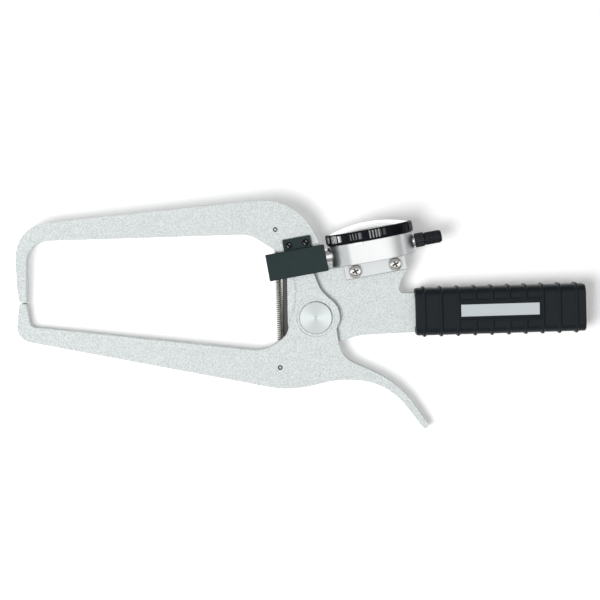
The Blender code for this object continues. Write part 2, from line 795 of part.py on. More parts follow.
def spring_path():
    """The wire's middle line: on the spring's axis at both ends, where one curl widens to full size."""
    top, foot = spring_line(0)
    along = (foot - top).normalized()
    across = Vector((-along.y, along.x))
    clear = SPRING_PIN_RADIUS + GAP
    lead = 2 * SPRING_WIRE_RADIUS
    start = top + along * clear
    length = (foot - top).length - 2 * clear
    steps = SPRING_CURLS * SPRING_CURL_POINTS
    points = [Vector((*start, SPRING_Z))]
    for step in range(steps + 1):
        angle = math.tau * step / SPRING_CURL_POINTS
        widening = min(1, step / SPRING_CURL_POINTS, (steps - step) / SPRING_CURL_POINTS)
        radius = (SPRING_OUTER_RADIUS - SPRING_WIRE_RADIUS) * widening
        middle = start + along * (lead + (length - 2 * lead) * step / steps)
        flat = middle + across * radius * math.cos(angle)
        points.append(Vector((*flat, SPRING_Z + radius * math.sin(angle))))
    points.append(Vector((*(start + along * length), SPRING_Z)))
    return points


def least_gap(points, wire_radius, apart):
    """The least gap between points of a wire that lie at least a given length apart along it."""
    lengths = [0.0]
    for here, after in zip(points, points[1:]):
        lengths.append(lengths[-1] + (after - here).length)
    nearest = min(
        (other - point).length
        for index, point in enumerate(points)
        for length, other in zip(lengths[index:], points[index:])
        if length - lengths[index] >= apart
    )
    return nearest - 2 * wire_radius


def make_tension_spring(mat):
    points = spring_path()
    half_curl = math.pi * (SPRING_OUTER_RADIUS - SPRING_WIRE_RADIUS)
    gap = least_gap(points, SPRING_WIRE_RADIUS, half_curl)
    print("tension spring: least gap to itself, mm:", round(gap / MILLIMETRE, 3))
    curve = bpy.data.curves.new("tension_spring", "CURVE")
    curve.dimensions = "3D"
    curve.bevel_depth = SPRING_WIRE_RADIUS
    curve.bevel_resolution = 1
    curve.use_fill_caps = True
    spline = curve.splines.new("POLY")
    spline.points.add(len(points) - 1)
    for point, place in zip(spline.points, points):
        point.co = (*place, 1)
    curve.materials.append(mat)
    made = bpy.data.objects.new("tension_spring", curve)
    bpy.context.scene.collection.objects.link(made)


# Cover block, in arm axes


def cover_outline():
    wide = COVER_HALF_WIDTH
    return rounded([
        (COVER_LEFT, -wide, SMALL_ROUND),
        (COVER_RIGHT, -wide, SMALL_ROUND),
        (COVER_RIGHT, wide, SMALL_ROUND),
        (TAB_RIGHT, wide, 0),
        (TAB_RIGHT, wide + TAB_REACH, SMALL_ROUND),
        (TAB_LEFT, wide + TAB_REACH, SMALL_ROUND),
        (TAB_LEFT, wide, 0),
        (COVER_LEFT, wide, SMALL_ROUND),
    ])


def cut_cover_room(cover):
    """The hollow that the lever's head travels in, with a door for its arm and a hole for the stem."""
    bottom = LEVER_LAP_BOTTOM - OVERRUN
    inner = COVER_HALF_WIDTH - COVER_WALL
    room = bmesh.new()
    low = (COVER_LEFT + COVER_WALL, -inner, bottom)
    high = (COVER_RIGHT - COVER_WALL, inner, COVER_FRONT - COVER_WALL)
    add_box(room, low, high)
    cut(cover, room, "room")

    door = bmesh.new()
    low = (HEAD_LEFT - SPINDLE_TRAVEL - GAP, -COVER_HALF_WIDTH - OVERRUN, bottom)
    high = (HEAD_FOOT_RIGHT + DOOR_CLEAR, -inner + OVERRUN, JAW_THICK + GAP)
    add_box(door, low, high)
    cut(cover, door, "arm_door")

    hole = bmesh.new()
    start = COVER_RIGHT - COVER_WALL - OVERRUN
    centre = (0, 0, SPINDLE_Z)
    add_rod(hole, STEM_RADIUS + GAP, start, COVER_RIGHT + OVERRUN, "x", centre, ROUND_SIDES)
    cut(cover, hole, "stem_hole")


def make_cover(arm_axes, mat, screw_mat):
    body = bmesh.new()
    add_prism(body, cover_outline(), LEVER_LAP_BOTTOM, COVER_FRONT)
    cover = make_object("cover_block", body, mat, arm_axes)

    tab_top = JAW_THICK + GAP + TAB_THICK
    tab_end = COVER_HALF_WIDTH + 2 * TAB_REACH
    above = bmesh.new()
    low = (TAB_LEFT - OVERRUN, COVER_HALF_WIDTH, tab_top)
    add_box(above, low, (TAB_RIGHT + OVERRUN, tab_end, COVER_FRONT + OVERRUN))
    cut(cover, above, "tab_top")
    under = bmesh.new()
    low = (COVER_LEFT - OVERRUN, STEP_ABOVE_SPINDLE - GAP, LEVER_LAP_BOTTOM - OVERRUN)
    add_box(under, low, (COVER_RIGHT + OVERRUN, tab_end, JAW_THICK + GAP))
    cut(cover, under, "jaw_step")
    cut_cover_room(cover)

    holes = bmesh.new()
    for along, out in cover_screw_places():
        centre = (along, out, 0)
        add_rod(holes, COVER_SCREW_RADIUS + GAP, JAW_THICK - OVERRUN, tab_top + OVERRUN, centre=centre)
    cut(cover, holes, "screw_holes")

    tip = JAW_THICK - COVER_SCREW_DEPTH + GAP
    seat = tab_top + GAP
    end = seat + COVER_SCREW_HEAD_THICK
    for side, (along, out) in zip(("left", "right"), cover_screw_places()):
        screw = bmesh.new()
        centre = (along, out, 0)
        add_screw(screw, tip, seat, end, COVER_SCREW_RADIUS, COVER_SCREW_HEAD_RADIUS, "z", centre)
        smooth(make_object("cover_screw_" + side, screw, screw_mat, arm_axes))


# Gauge case, stem, back and cap, in gauge axes


def make_case(gauge_axes, mat):
    case = bmesh.new()
    back_seat = CASE_BACK + BACK_THICK
    add_turned(case, [
        (CASE_BORE, back_seat),
        (CASE_BACK_BORE, back_seat),
        (CASE_BACK_BORE, CASE_BACK),
        (CASE_RADIUS - SMALL_ROUND, CASE_BACK),
        (CASE_RADIUS, CASE_BACK + SMALL_ROUND),
        (CASE_RADIUS, CASE_FRONT),
        (CASE_FRONT_BORE, CASE_FRONT),
        (CASE_FRONT_BORE, PLATE_SEAT),
        (CASE_BORE, PLATE_SEAT),
    ], "y", sides=FINE_SIDES)
    made = make_object("gauge_case", case, mat, gauge_axes)
    holes = bmesh.new()
    reach = CASE_RADIUS + OVERRUN
    add_rod(holes, STEM_RADIUS + GAP, -reach, 0, "x", sides=ROUND_SIDES)
    add_rod(holes, NECK_RADIUS + GAP, 0, reach, "x", sides=ROUND_SIDES)
    for centre in back_screw_places():
        add_rod(holes, BACK_SCREW_RADIUS + GAP, CASE_BACK, back_seat + BACK_SCREW_DEPTH, "y", centre)
    cut(made, holes, "holes")
    smooth(made)


def make_stem(gauge_axes, mat):
    inner = SPINDLE_RADIUS + GAP
    left = STEM_END - GAUGE_REACH
    right = -CASE_FRONT_BORE - GAP
    stem = bmesh.new()
    add_turned(stem, [
        (inner, left),
        (STEM_RADIUS - SMALL_ROUND, left),
        (STEM_RADIUS, left + SMALL_ROUND),
        (STEM_RADIUS, right),
        (inner, right),
    ], "x")
    smooth(make_object("gauge_stem", stem, mat, gauge_axes))


def make_back(gauge_axes, mat):
    """The case's back and its lug are one piece. The lug lies on the frame's web, under two screws."""
    disc = bmesh.new()
    disc_radius = CASE_BACK_BORE - GAP
    add_rod(disc, disc_radius, CASE_BACK, CASE_BACK + BACK_THICK - GAP, "y", sides=FINE_SIDES)
    lug = bmesh.new()
    low = LEVER_LAP_BOTTOM - SPINDLE_Z
    start = (-LUG_HALF_WIDTH, -LUG_REACH, low)
    add_box(lug, start, (LUG_HALF_WIDTH, CASE_BACK + BACK_THICK / 2, low + LUG_THICK))
    back = joined("gauge_back", mat, gauge_axes, [disc, lug])
    holes = bmesh.new()
    for along in lug_screw_alongs():
        centre = (along, -LUG_SCREW_DROP, 0)
        add_rod(holes, LUG_SCREW_RADIUS + GAP, -SPINDLE_Z, SPINDLE_Z, centre=centre)
    for centre in back_screw_places():
        add_rod(holes, BACK_SCREW_RADIUS + GAP, CASE_BACK - OVERRUN, 0, "y", centre)
    cut(back, holes, "holes")
    smooth(back)


def make_back_screws(gauge_axes, mat):
    seat = CASE_BACK - GAP
    tip = CASE_BACK + BACK_THICK + BACK_SCREW_DEPTH - GAP
    end = seat - BACK_SCREW_HEAD_THICK
    for number, centre in enumerate(back_screw_places(), 1):
        body = bmesh.new()
        add_screw(body, tip, seat, end, BACK_SCREW_RADIUS, BACK_SCREW_HEAD_RADIUS, "y", centre)
        smooth(make_object(f"back_screw_{number}", body, mat, gauge_axes))


def add_cross(body, centre, low, high):
    """The crossed recess of a screw's head."""
    arm = LUG_HEAD_RADIUS * CROSS_ARM_SHARE
    wide = LUG_HEAD_RADIUS * CROSS_WIDTH_SHARE
    outline = [
        (arm, -wide), (arm, wide), (wide, wide), (wide, arm), (-wide, arm), (-wide, wide),
        (-arm, wide), (-arm, -wide), (-wide, -wide), (-wide, -arm), (wide, -arm), (wide, -wide),
    ]
    add_prism(body, [(centre[0] + x, centre[1] + y) for x, y in outline], low, high)


def make_lug_fasteners(arm_axes, mat):
    seat = LEVER_LAP_BOTTOM + LUG_THICK + GAP
    head = seat + LUG_WASHER_THICK + GAP
    top = head + LUG_HEAD_THICK
    for name, along in zip(("left", "right"), lug_screw_alongs()):
        centre = (GAUGE_REACH + along, -LUG_SCREW_DROP, 0)
        washer = bmesh.new()
        inner = LUG_SCREW_RADIUS + GAP
        add_tube(washer, LUG_WASHER_RADIUS, inner, seat, seat + LUG_WASHER_THICK, "z", centre, HEAD_SIDES)
        smooth(make_object("lug_washer_" + name, washer, mat, arm_axes))
        screw = bmesh.new()
        add_turned(screw, [
            (0, GAP),
            (LUG_SCREW_RADIUS, GAP),
            (LUG_SCREW_RADIUS, head),
            (LUG_HEAD_RADIUS, head),
            (LUG_HEAD_RADIUS, head + LUG_HEAD_THICK * LUG_RIM_SHARE),
            (LUG_HEAD_RADIUS * LUG_CROWN_SHARE, top),
            (0, top),
        ], "z", centre, HEAD_SIDES)
        made = make_object("lug_screw_" + name, screw, mat, arm_axes)
        cross = bmesh.new()
        add_cross(cross, centre, head + LUG_HEAD_THICK * CROSS_FLOOR_SHARE, top + OVERRUN)
        cut(made, cross, "cross")
        smooth(made)


def make_cap(gauge_axes, bright, black):
    inner = SPINDLE_RADIUS + GAP
    neck = bmesh.new()
    neck_end = CASE_RADIUS + NECK_LENGTH
    add_tube(neck, NECK_RADIUS, inner, CASE_FRONT_BORE + GAP, neck_end, "x")
    smooth(make_object("cap_bush", neck, bright, gauge_axes))
    cap = bmesh.new()
    start = neck_end + GAP
    collar_end = start + CAP_COLLAR_LENGTH
    floor = CAP_REACH - CAP_END_WALL
    add_turned(cap, [
        (inner, start),
        (CAP_COLLAR_RADIUS, start),
        (CAP_COLLAR_RADIUS, collar_end),
        (CAP_RADIUS, collar_end),
        (CAP_RADIUS, CAP_REACH - SMALL_ROUND),
        (CAP_RADIUS - SMALL_ROUND, CAP_REACH),
        (0, CAP_REACH),
        (0, floor),
        (inner, floor),
    ], "x", sides=HEAD_SIDES)
    smooth(make_object("spindle_cap", cap, black, gauge_axes))


# Spindle, its contact point, guide pin and return spring, in gauge axes


def cut_rack(spindle):
    """Rack teeth on a flat along the spindle's front side, where the counter's pinion runs."""
    pitch = math.tau * RACK_PINION_PITCH_RADIUS / RACK_PINION_TEETH
    start = WHEEL_ALONG - RACK_LEAD
    count = math.ceil((SPINDLE_TRAVEL + 2 * RACK_LEAD) / pitch)
    half = SPINDLE_RADIUS + GAP
    teeth = bmesh.new()
    for tooth in range(count):
        along = start + tooth * pitch
        outline = [(along, -half), (along + pitch / 2, -half), (along + pitch / 2, half), (along, half)]
        add_prism(teeth, outline, RACK_LEVEL - RACK_DEPTH, half)
    cut(spindle, teeth, "rack")
    flat = bmesh.new()
    add_box(flat, (start - pitch, -half, RACK_LEVEL), (start + count * pitch, half, half))
    cut(spindle, flat, "rack_flat")


def make_spindle(gauge_axes, steel):
    contact_start = GAP - GAUGE_REACH
    contact_end = contact_start + CONTACT_LENGTH
    spindle = bmesh.new()
    end = CAP_REACH - CAP_END_WALL - GAP
    add_rod(spindle, SPINDLE_RADIUS, contact_end + GAP, end, "x", sides=HEAD_SIDES)
    made = make_object("spindle", spindle, steel, gauge_axes)
    cut_rack(made)
    hole = bmesh.new()
    hole_centre = (GUIDE_PIN_ALONG, 0, 0)
    add_rod(hole, GUIDE_PIN_RADIUS + GAP, -SPINDLE_RADIUS - OVERRUN, 0, "z", hole_centre)
    cut(made, hole, "pin_hole")
    smooth(made)

    point = bmesh.new()
    profile = [(0, contact_start)]
    for row in range(1, CONTACT_ROWS + 1):
        angle = math.pi / 2 * row / CONTACT_ROWS
        drop = CONTACT_BALL_RADIUS * (1 - math.cos(angle))
        profile.append((CONTACT_BALL_RADIUS * math.sin(angle), contact_start + drop))
    profile.append((SPINDLE_RADIUS, contact_start + 2 * CONTACT_BALL_RADIUS))
    profile.append((SPINDLE_RADIUS, contact_end))
    profile.append((0, contact_end))
    add_turned(point, profile, "x", sides=HEAD_SIDES)
    smooth(make_object("contact_point", point, steel, gauge_axes))


def make_return_spring(gauge_axes, steel, wire):
    pin = bmesh.new()
    add_rod(pin, GUIDE_PIN_RADIUS, -GUIDE_PIN_END, -GAP, "z", (GUIDE_PIN_ALONG, 0, 0))
    smooth(make_object("guide_pin", pin, steel, gauge_axes))
    post = bmesh.new()
    post_centre = (SPRING_POST_ALONG, 0, -RETURN_SPRING_DROP)
    add_rod(post, SPRING_POST_RADIUS, SPRING_POST_END, MOVEMENT_PLATE_LOW - GAP, "y", post_centre)
    smooth(make_object("spring_post", post, steel, gauge_axes))
    spring = bmesh.new()
    left = SPRING_POST_ALONG + SPRING_POST_RADIUS + GAP
    right = GUIDE_PIN_ALONG - GUIDE_PIN_RADIUS - GAP
    add_rod(spring, RETURN_SPRING_RADIUS, left, right, "x", (0, 0, -RETURN_SPRING_DROP))
    smooth(make_object("return_spring", spring, wire, gauge_axes))


# Movement


def gear(teeth, outer, tooth, low, high):
    """A gear round the y axis, with pointed teeth."""
    outline = []
    for index in range(2 * teeth):
        radius = outer - tooth if index % 2 else outer
        angle = math.pi * index / teeth
        outline.append((radius * math.cos(angle), radius * math.sin(angle)))
    body = bmesh.new()
    add_prism(body, outline, low, high, "y")
    return body


def make_plates(gauge_axes, brass):
    plate = bmesh.new()
    plate_radius = CASE_FRONT_BORE - GAP
    add_rod(plate, plate_radius, MOVEMENT_PLATE_LOW, MOVEMENT_PLATE_TOP, "y", sides=FINE_SIDES)
    made = make_object("movement_plate", plate, brass, gauge_axes)
    hole = bmesh.new()
    centre = (WHEEL_ALONG, 0, WHEEL_UP)
    add_rod(hole, RACK_PINION_PITCH_RADIUS + GAP, 0, CASE_FRONT, "y", centre)
    cut(made, hole, "pinion_hole")

    bridge = bmesh.new()
    wide = BRIDGE_HALF_WIDTH
    tall = BRIDGE_HALF_HEIGHT
    corners = [(-wide, -tall), (wide, -tall), (wide, tall), (-wide, tall)]
    outline = rounded([(x, z, BRIDGE_ROUND) for x, z in corners])
    add_prism(bridge, outline, BRIDGE_LEVEL, BRIDGE_LEVEL + BRIDGE_THICK, "y")
    made = make_object("movement_bridge", bridge, brass, gauge_axes)
    holes = bmesh.new()
    for centre in ((WHEEL_ALONG, 0, WHEEL_UP), (0, 0, 0)):
        add_rod(holes, ARBOR_RADIUS + GAP, 0, BEZEL_TOP, "y", centre)
    for side in (-1, 1):
        add_rod(holes, BACK_SCREW_RADIUS + GAP, 0, BEZEL_TOP, "y", (0, 0, side * PILLAR_OFFSET))
    cut(made, holes, "holes")


def make_pillars(gauge_axes, brass, steel):
    low = MOVEMENT_PLATE_TOP + GAP
    high = BRIDGE_LEVEL - GAP
    floor = high - BACK_SCREW_RADIUS
    inner = BACK_SCREW_RADIUS + GAP
    seat = BRIDGE_LEVEL + BRIDGE_THICK + GAP
    end = seat + BACK_SCREW_RADIUS / 2
    for name, side in (("lower", -1), ("upper", 1)):
        centre = (0, 0, side * PILLAR_OFFSET)
        pillar = bmesh.new()
        add_turned(pillar, [
            (0, low), (PILLAR_RADIUS, low), (PILLAR_RADIUS, high), (inner, high), (inner, floor), (0, floor),
        ], "y", centre, SMALL_SIDES)
        make_object("movement_pillar_" + name, pillar, brass, gauge_axes)
        screw = bmesh.new()
        add_screw(screw, floor + GAP, seat, end, BACK_SCREW_RADIUS, BACK_SCREW_HEAD_RADIUS, "y", centre)
        make_object("bridge_screw_" + name, screw, steel, gauge_axes)


def make_counter(counter_axes, brass, dark):
    """Rack pinion and large wheel on one arbor, with the small hand that counts the pointer's turns."""
    wheel_top = WHEEL_LEVEL + WHEEL_THICK
    wheel = gear(WHEEL_TEETH, WHEEL_PITCH_RADIUS - GAP / 2, WHEEL_TOOTH, WHEEL_LEVEL, wheel_top)
    pinion_end = WHEEL_LEVEL + WHEEL_THICK / 2
    pinion_radius = RACK_PINION_PITCH_RADIUS - GAP / 2
    pinion = gear(RACK_PINION_TEETH, pinion_radius, WHEEL_TOOTH, -pinion_radius, pinion_end)
    arbor = bmesh.new()
    add_rod(arbor, ARBOR_RADIUS, WHEEL_LEVEL + WHEEL_THICK / 3, COUNTER_HAND_LEVEL - GAP, "y")
    joined("counter_arbor", brass, counter_axes, [wheel, pinion, arbor])
    hand = bmesh.new()
    add_hand(hand, COUNTER_HAND_LEVEL, COUNTER_HAND_LENGTH, COUNTER_HAND_HALF_WIDTH)
    make_object("counter_hand", hand, dark, counter_axes)


def make_centre(gauge_axes, steel, dark):
    low = MOVEMENT_PLATE_TOP + GAP
    radius = CENTRE_PINION_PITCH_RADIUS - GAP / 2
    pinion = gear(CENTRE_PINION_TEETH, radius, PINION_TOOTH, low, BRIDGE_LEVEL - GAP)
    staff = bmesh.new()
    add_rod(staff, CENTRE_STAFF_RADIUS, WHEEL_LEVEL, POINTER_LEVEL - GAP, "y")
    joined("centre_arbor", steel, gauge_axes, [pinion, staff])
    pointer = bmesh.new()
    add_hand(pointer, POINTER_LEVEL, POINTER_LENGTH, POINTER_HALF_WIDTH)
    make_object("pointer", pointer, dark, gauge_axes)


def make_takeup(takeup_axes, brass, wire):
    """The take-up wheel takes the play out of the gears. Its hairspring winds with it."""
    wheel_top = WHEEL_LEVEL + WHEEL_THICK
    wheel = gear(WHEEL_TEETH, WHEEL_PITCH_RADIUS - GAP / 2, WHEEL_TOOTH, WHEEL_LEVEL, wheel_top)
    arbor = bmesh.new()
    add_rod(arbor, ARBOR_RADIUS, MOVEMENT_PLATE_TOP + GAP, BRIDGE_LEVEL - GAP, "y")
    joined("takeup_wheel", brass, takeup_axes, [wheel, arbor])
    edges = []
    for radius in (HAIR_START_RADIUS, HAIR_START_RADIUS + HAIR_THICK):
        edge = []
        for step in range(HAIR_TURNS * HAIR_TURN_POINTS + 1):
            turn = step / HAIR_TURN_POINTS
            reach = radius + HAIR_PITCH * turn
            edge.append((reach * math.cos(math.tau * turn), reach * math.sin(math.tau * turn)))
        edges.append(edge)
    spiral = bmesh.new()
    add_prism(spiral, edges[1] + edges[0][::-1], HAIR_LEVEL, HAIR_LEVEL + HAIR_HIGH, "y")
    make_object("hairspring", spiral, wire, takeup_axes)


def add_hand(body, level, length, half_width):
    """A tapered hand with a round hub, pointing out of the front face."""
    hub = HAND_HUB_SHARE * half_width
    tail = HAND_TAIL_SHARE * length
    tip = HAND_TIP_SHARE * half_width
    right = []
    for step in range(-3, 4):
        angle = ARC_STEP * step
        right.append((hub * math.cos(angle), hub * math.sin(angle)))
    outline = [(half_width, -tail), *right, (tip, length)]
    mirrored = [(-x, y) for x, y in outline[::-1]]
    add_prism(body, outline + mirrored, level, level + HAND_THICK, "y")


# Bezel, crystal and dial


def make_bezel(gauge_axes, black):
    bezel = bmesh.new()
    add_turned(bezel, [
        (BEZEL_BORE, BEZEL_BOTTOM),
        (BEZEL_RADIUS - SMALL_ROUND, BEZEL_BOTTOM),
        (BEZEL_RADIUS, BEZEL_BOTTOM + SMALL_ROUND),
        (BEZEL_RADIUS, BEZEL_TOP - SMALL_ROUND),
        (BEZEL_RADIUS - SMALL_ROUND, BEZEL_TOP),
        (CRYSTAL_SEAT_BORE, BEZEL_TOP),
        (CRYSTAL_SEAT_BORE, CRYSTAL_SEAT),
        (BEZEL_BORE, CRYSTAL_SEAT),
    ], "y", sides=FINE_SIDES)
    smooth(make_object("bezel", bezel, black, gauge_axes))


def make_bezel_clip(gauge_axes, bright):
    """A small clip on the case, just under the bezel's rim, that holds the bezel where it is set."""
    inner = CASE_RADIUS + GAP
    outer = inner + CLIP_THICK
    turns = [CLIP_TURN + CLIP_SPREAD * step / 2 for step in range(-2, 3)]
    outline = [(outer * math.sin(turn), outer * math.cos(turn)) for turn in turns]
    outline += [(inner * math.sin(turn), inner * math.cos(turn)) for turn in turns[::-1]]
    clip = bmesh.new()
    add_prism(clip, outline, CASE_FRONT - CLIP_LENGTH, CASE_FRONT, "y")
    make_object("bezel_clip", clip, bright, gauge_axes)


def make_crystal(gauge_axes, glass):
    rim = CRYSTAL_SEAT_BORE - GAP
    outer = []
    inner = []
    for row in range(CRYSTAL_ROWS + 1):
        inward = 1 - row / CRYSTAL_ROWS
        height = BEZEL_TOP + CRYSTAL_DOME * (1 - inward ** 2)
        outer.append((rim * inward, height))
        inner.append(((rim - CRYSTAL_THICK) * inward, height - CRYSTAL_THICK))
    low = CRYSTAL_SEAT + GAP
    crystal = bmesh.new()
    profile = [(rim - CRYSTAL_THICK, low), (rim, low)] + outer + inner[::-1]
    add_turned(crystal, profile, "y", sides=FINE_SIDES)
    smooth(make_object("crystal", crystal, glass, gauge_axes))


def make_dial(gauge_axes, white):
    """The scale ring turns with the bezel. The centre, with the counter's scale, stands on the bridge."""
    top = DIAL_LEVEL + DIAL_THICK
    ring = bmesh.new()
    add_tube(ring, BEZEL_BORE - GAP, DIAL_CENTRE_RADIUS + GAP, DIAL_LEVEL, top, "y", sides=FINE_SIDES)
    make_object("dial_ring", ring, white, gauge_axes)
    disc = bmesh.new()
    add_rod(disc, DIAL_CENTRE_RADIUS, DIAL_LEVEL, top, "y", sides=ROUND_SIDES)
    bodies = [disc]
    for side in (-1, 1):
        foot = bmesh.new()
        start = BRIDGE_LEVEL + BRIDGE_THICK + GAP
        centre = (0, 0, side * DIAL_FOOT_OFFSET)
        add_rod(foot, DIAL_FOOT_RADIUS, start, DIAL_LEVEL + DIAL_THICK / 2, "y", centre)
        bodies.append(foot)
    made = joined("dial_centre", white, gauge_axes, bodies)
    holes = bmesh.new()
    for centre in ((0, 0, 0), (WHEEL_ALONG, 0, WHEEL_UP)):
        add_rod(holes, ARBOR_RADIUS + GAP, 0, BEZEL_TOP, "y", centre)
    cut(made, holes, "holes")


# Handle, in grip axes: x along it, z out of the front face


def grip_section(extra):
    corner = GRIP_CORNER + extra
    wide = GRIP_HALF_WIDTH + extra
    thick = GRIP_HALF_THICK + extra
    return rounded([
        (-wide, -thick, corner), (wide, -thick, corner), (wide, thick, corner), (-wide, thick, corner),
    ], GRIP_CORNER_STEPS)


def add_grip_skin(body):
    """The ribbed skin, as rounded sections along the handle."""
    half = RIB_LENGTH / 2
    stations = [(0, 0)]
    for rib in range(RIB_COUNT):
        middle = RIB_FIRST + rib * RIB_PITCH
        stations += [(middle - half, 0), (middle - half / 2, RIB_HEIGHT)]
        stations += [(middle + half / 2, RIB_HEIGHT), (middle + half, 0)]
    stations.append((GRIP_LENGTH, 0))
    rings = []
    for along, extra in stations:
        rings.append([body.verts.new((along, y, z)) for y, z in grip_section(extra)])
    body.faces.new(rings[0])
    body.faces.new(rings[-1][::-1])
    for ring, after in zip(rings, rings[1:]):
        for index in range(len(ring)):
            other = (index + 1) % len(ring)
            body.faces.new((ring[index], ring[other], after[other], after[index]))


def make_grip(rubber, satin):
    grip_axes = set_axes("grip_axes", (*GRIP_START, LAP_TOP / 2), GRIP_TILT)
    body = bmesh.new()
    add_grip_skin(body)
    grip = make_object("grip_sleeve", body, rubber, grip_axes)
    pocket = bmesh.new()
    thick = LAP_TOP / 2 + GAP
    wide = TANG_HALF_WIDTH + GAP
    add_box(pocket, (-OVERRUN, -wide, -thick), (TANG_LENGTH + GAP, wide, thick))
    cut(grip, pocket, "pocket")

    low = Vector((PLATE_START, PLATE_MIDDLE - PLATE_HALF_WIDTH, GRIP_HALF_THICK - PLATE_THICK))
    high = Vector((PLATE_START + PLATE_LENGTH, PLATE_MIDDLE + PLATE_HALF_WIDTH, GRIP_HALF_THICK))
    clear = Vector((GAP, GAP, 0))
    seat = bmesh.new()
    add_box(seat, low - clear, high + clear + Vector((0, 0, OVERRUN)))
    cut(grip, seat, "plate_seat")
    raised = Vector((0, 0, GAP))
    plate = bmesh.new()
    add_box(plate, low + raised, high + raised)
    make_object("name_plate", plate, satin, grip_axes)


def main():
    clear_scene()
    paint = material("hammer_paint", (0.66, 0.70, 0.69), 0.45, 0.35)
    steel = material("steel", (0.60, 0.60, 0.61), 0.25, 1.0)
    bright = material("bright_case", (0.80, 0.80, 0.80), 0.2, 1.0)
    satin = material("satin_plate", (0.72, 0.72, 0.72), 0.4, 1.0)
    bronze = material("bronze", (0.55, 0.38, 0.18), 0.4, 1.0)
    brass = material("brass", (0.78, 0.60, 0.28), 0.3, 1.0)
    wire = material("spring_wire", (0.25, 0.22, 0.19), 0.35, 1.0)
    slate = material("slate_black", (0.035, 0.045, 0.05), 0.5, 0.0)
    gloss = material("gloss_black", (0.008, 0.009, 0.012), 0.15, 0.0)
    rubber = material("rubber", (0.015, 0.018, 0.02), 0.6, 0.0)
    glass = material("crystal", (1.0, 1.0, 1.0), 0.05, 0.0, 0.25)
    white = material("dial_white", (0.85, 0.85, 0.84), 0.5, 0.0)

    lever_axes = set_axes("lever_axes", (0, 0, 0), SPINDLE_TILT)
    arm_axes = set_axes("arm_axes", (*spindle_foot(), 0), SPINDLE_TILT)
    gauge_axes = set_axes("gauge_axes", (*from_arm(GAUGE_REACH, 0), SPINDLE_Z), SPINDLE_TILT)
    counter_axes = set_axes("counter_axes", (WHEEL_ALONG, 0, WHEEL_UP), parent=gauge_axes)
    takeup_axes = set_axes("takeup_axes", (-WHEEL_ALONG, 0, -WHEEL_UP), parent=gauge_axes)

    make_frame(paint)
    make_lever(paint, lever_axes)
    make_lever_pad(lever_axes, steel)
    make_pivot(satin, bronze)
    make_spring_pins(steel)
    make_tension_spring(wire)
    make_cover(arm_axes, slate, gloss)
    make_case(gauge_axes, bright)
    make_stem(gauge_axes, steel)
    make_back(gauge_axes, satin)
    make_back_screws(gauge_axes, steel)
    make_lug_fasteners(arm_axes, steel)
    make_cap(gauge_axes, bright, gloss)
    make_spindle(gauge_axes, steel)
    make_return_spring(gauge_axes, steel, wire)
    make_plates(gauge_axes, brass)
    make_pillars(gauge_axes, brass, steel)
    make_counter(counter_axes, brass, gloss)
    make_centre(gauge_axes, steel, gloss)
    make_takeup(takeup_axes, brass, wire)
    make_bezel(gauge_axes, gloss)
    make_bezel_clip(gauge_axes, bright)
    make_crystal(gauge_axes, glass)
    make_dial(gauge_axes, white)
    make_grip(rubber, satin)


main()
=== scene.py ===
"""A dial caliper gauge in its finishes, dressed over the solids of its model and set up for one picture.

Everything is in metres, in the model's own frame: the origin lies on the pivot axis at the rear face, +X runs
along the handle and +Z out of the front face. The file follows the tool as it is put together.
"""

import math

import bpy
from mathutils import Matrix, Vector


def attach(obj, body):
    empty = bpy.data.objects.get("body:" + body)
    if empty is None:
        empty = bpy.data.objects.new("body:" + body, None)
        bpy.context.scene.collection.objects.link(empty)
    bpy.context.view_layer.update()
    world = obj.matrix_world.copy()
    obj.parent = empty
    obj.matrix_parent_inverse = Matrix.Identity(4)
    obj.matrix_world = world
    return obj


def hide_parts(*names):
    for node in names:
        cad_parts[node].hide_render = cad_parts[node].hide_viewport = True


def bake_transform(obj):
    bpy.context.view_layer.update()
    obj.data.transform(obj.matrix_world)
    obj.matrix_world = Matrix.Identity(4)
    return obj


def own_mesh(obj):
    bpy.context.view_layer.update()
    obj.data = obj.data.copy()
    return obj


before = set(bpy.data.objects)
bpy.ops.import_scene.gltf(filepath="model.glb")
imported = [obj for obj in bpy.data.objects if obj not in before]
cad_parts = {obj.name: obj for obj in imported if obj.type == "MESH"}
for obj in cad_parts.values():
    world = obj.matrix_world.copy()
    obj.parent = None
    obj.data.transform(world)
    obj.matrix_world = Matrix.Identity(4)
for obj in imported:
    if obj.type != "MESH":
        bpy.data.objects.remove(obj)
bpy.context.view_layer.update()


# The picture. The camera looks straight down on the tool, leaning a little towards the dial's face, from
# about a metre away.
AIM = Vector((-0.00755, 0.00851, 0.0095))
VIEW_WIDTH = 0.2868
CAMERA_DISTANCE = 1.0
CAMERA_LEAN = math.radians(3.3)

bpy.ops.object.camera_add()
camera = bpy.context.object
camera.name = "camera"
view_out = Vector((0, math.sin(CAMERA_LEAN), math.cos(CAMERA_LEAN)))
view_across = Vector((1, 0, 0))
view_turn = Matrix((view_across, view_out.cross(view_across), view_out)).transposed().to_4x4()
camera.matrix_world = Matrix.Translation(AIM + view_out * CAMERA_DISTANCE) @ view_turn
camera.data.sensor_fit = "HORIZONTAL"
camera.data.angle = 2 * math.atan(VIEW_WIDTH / 2 / CAMERA_DISTANCE)
bpy.context.scene.camera = camera
bpy.context.scene.view_settings.view_transform = "Standard"


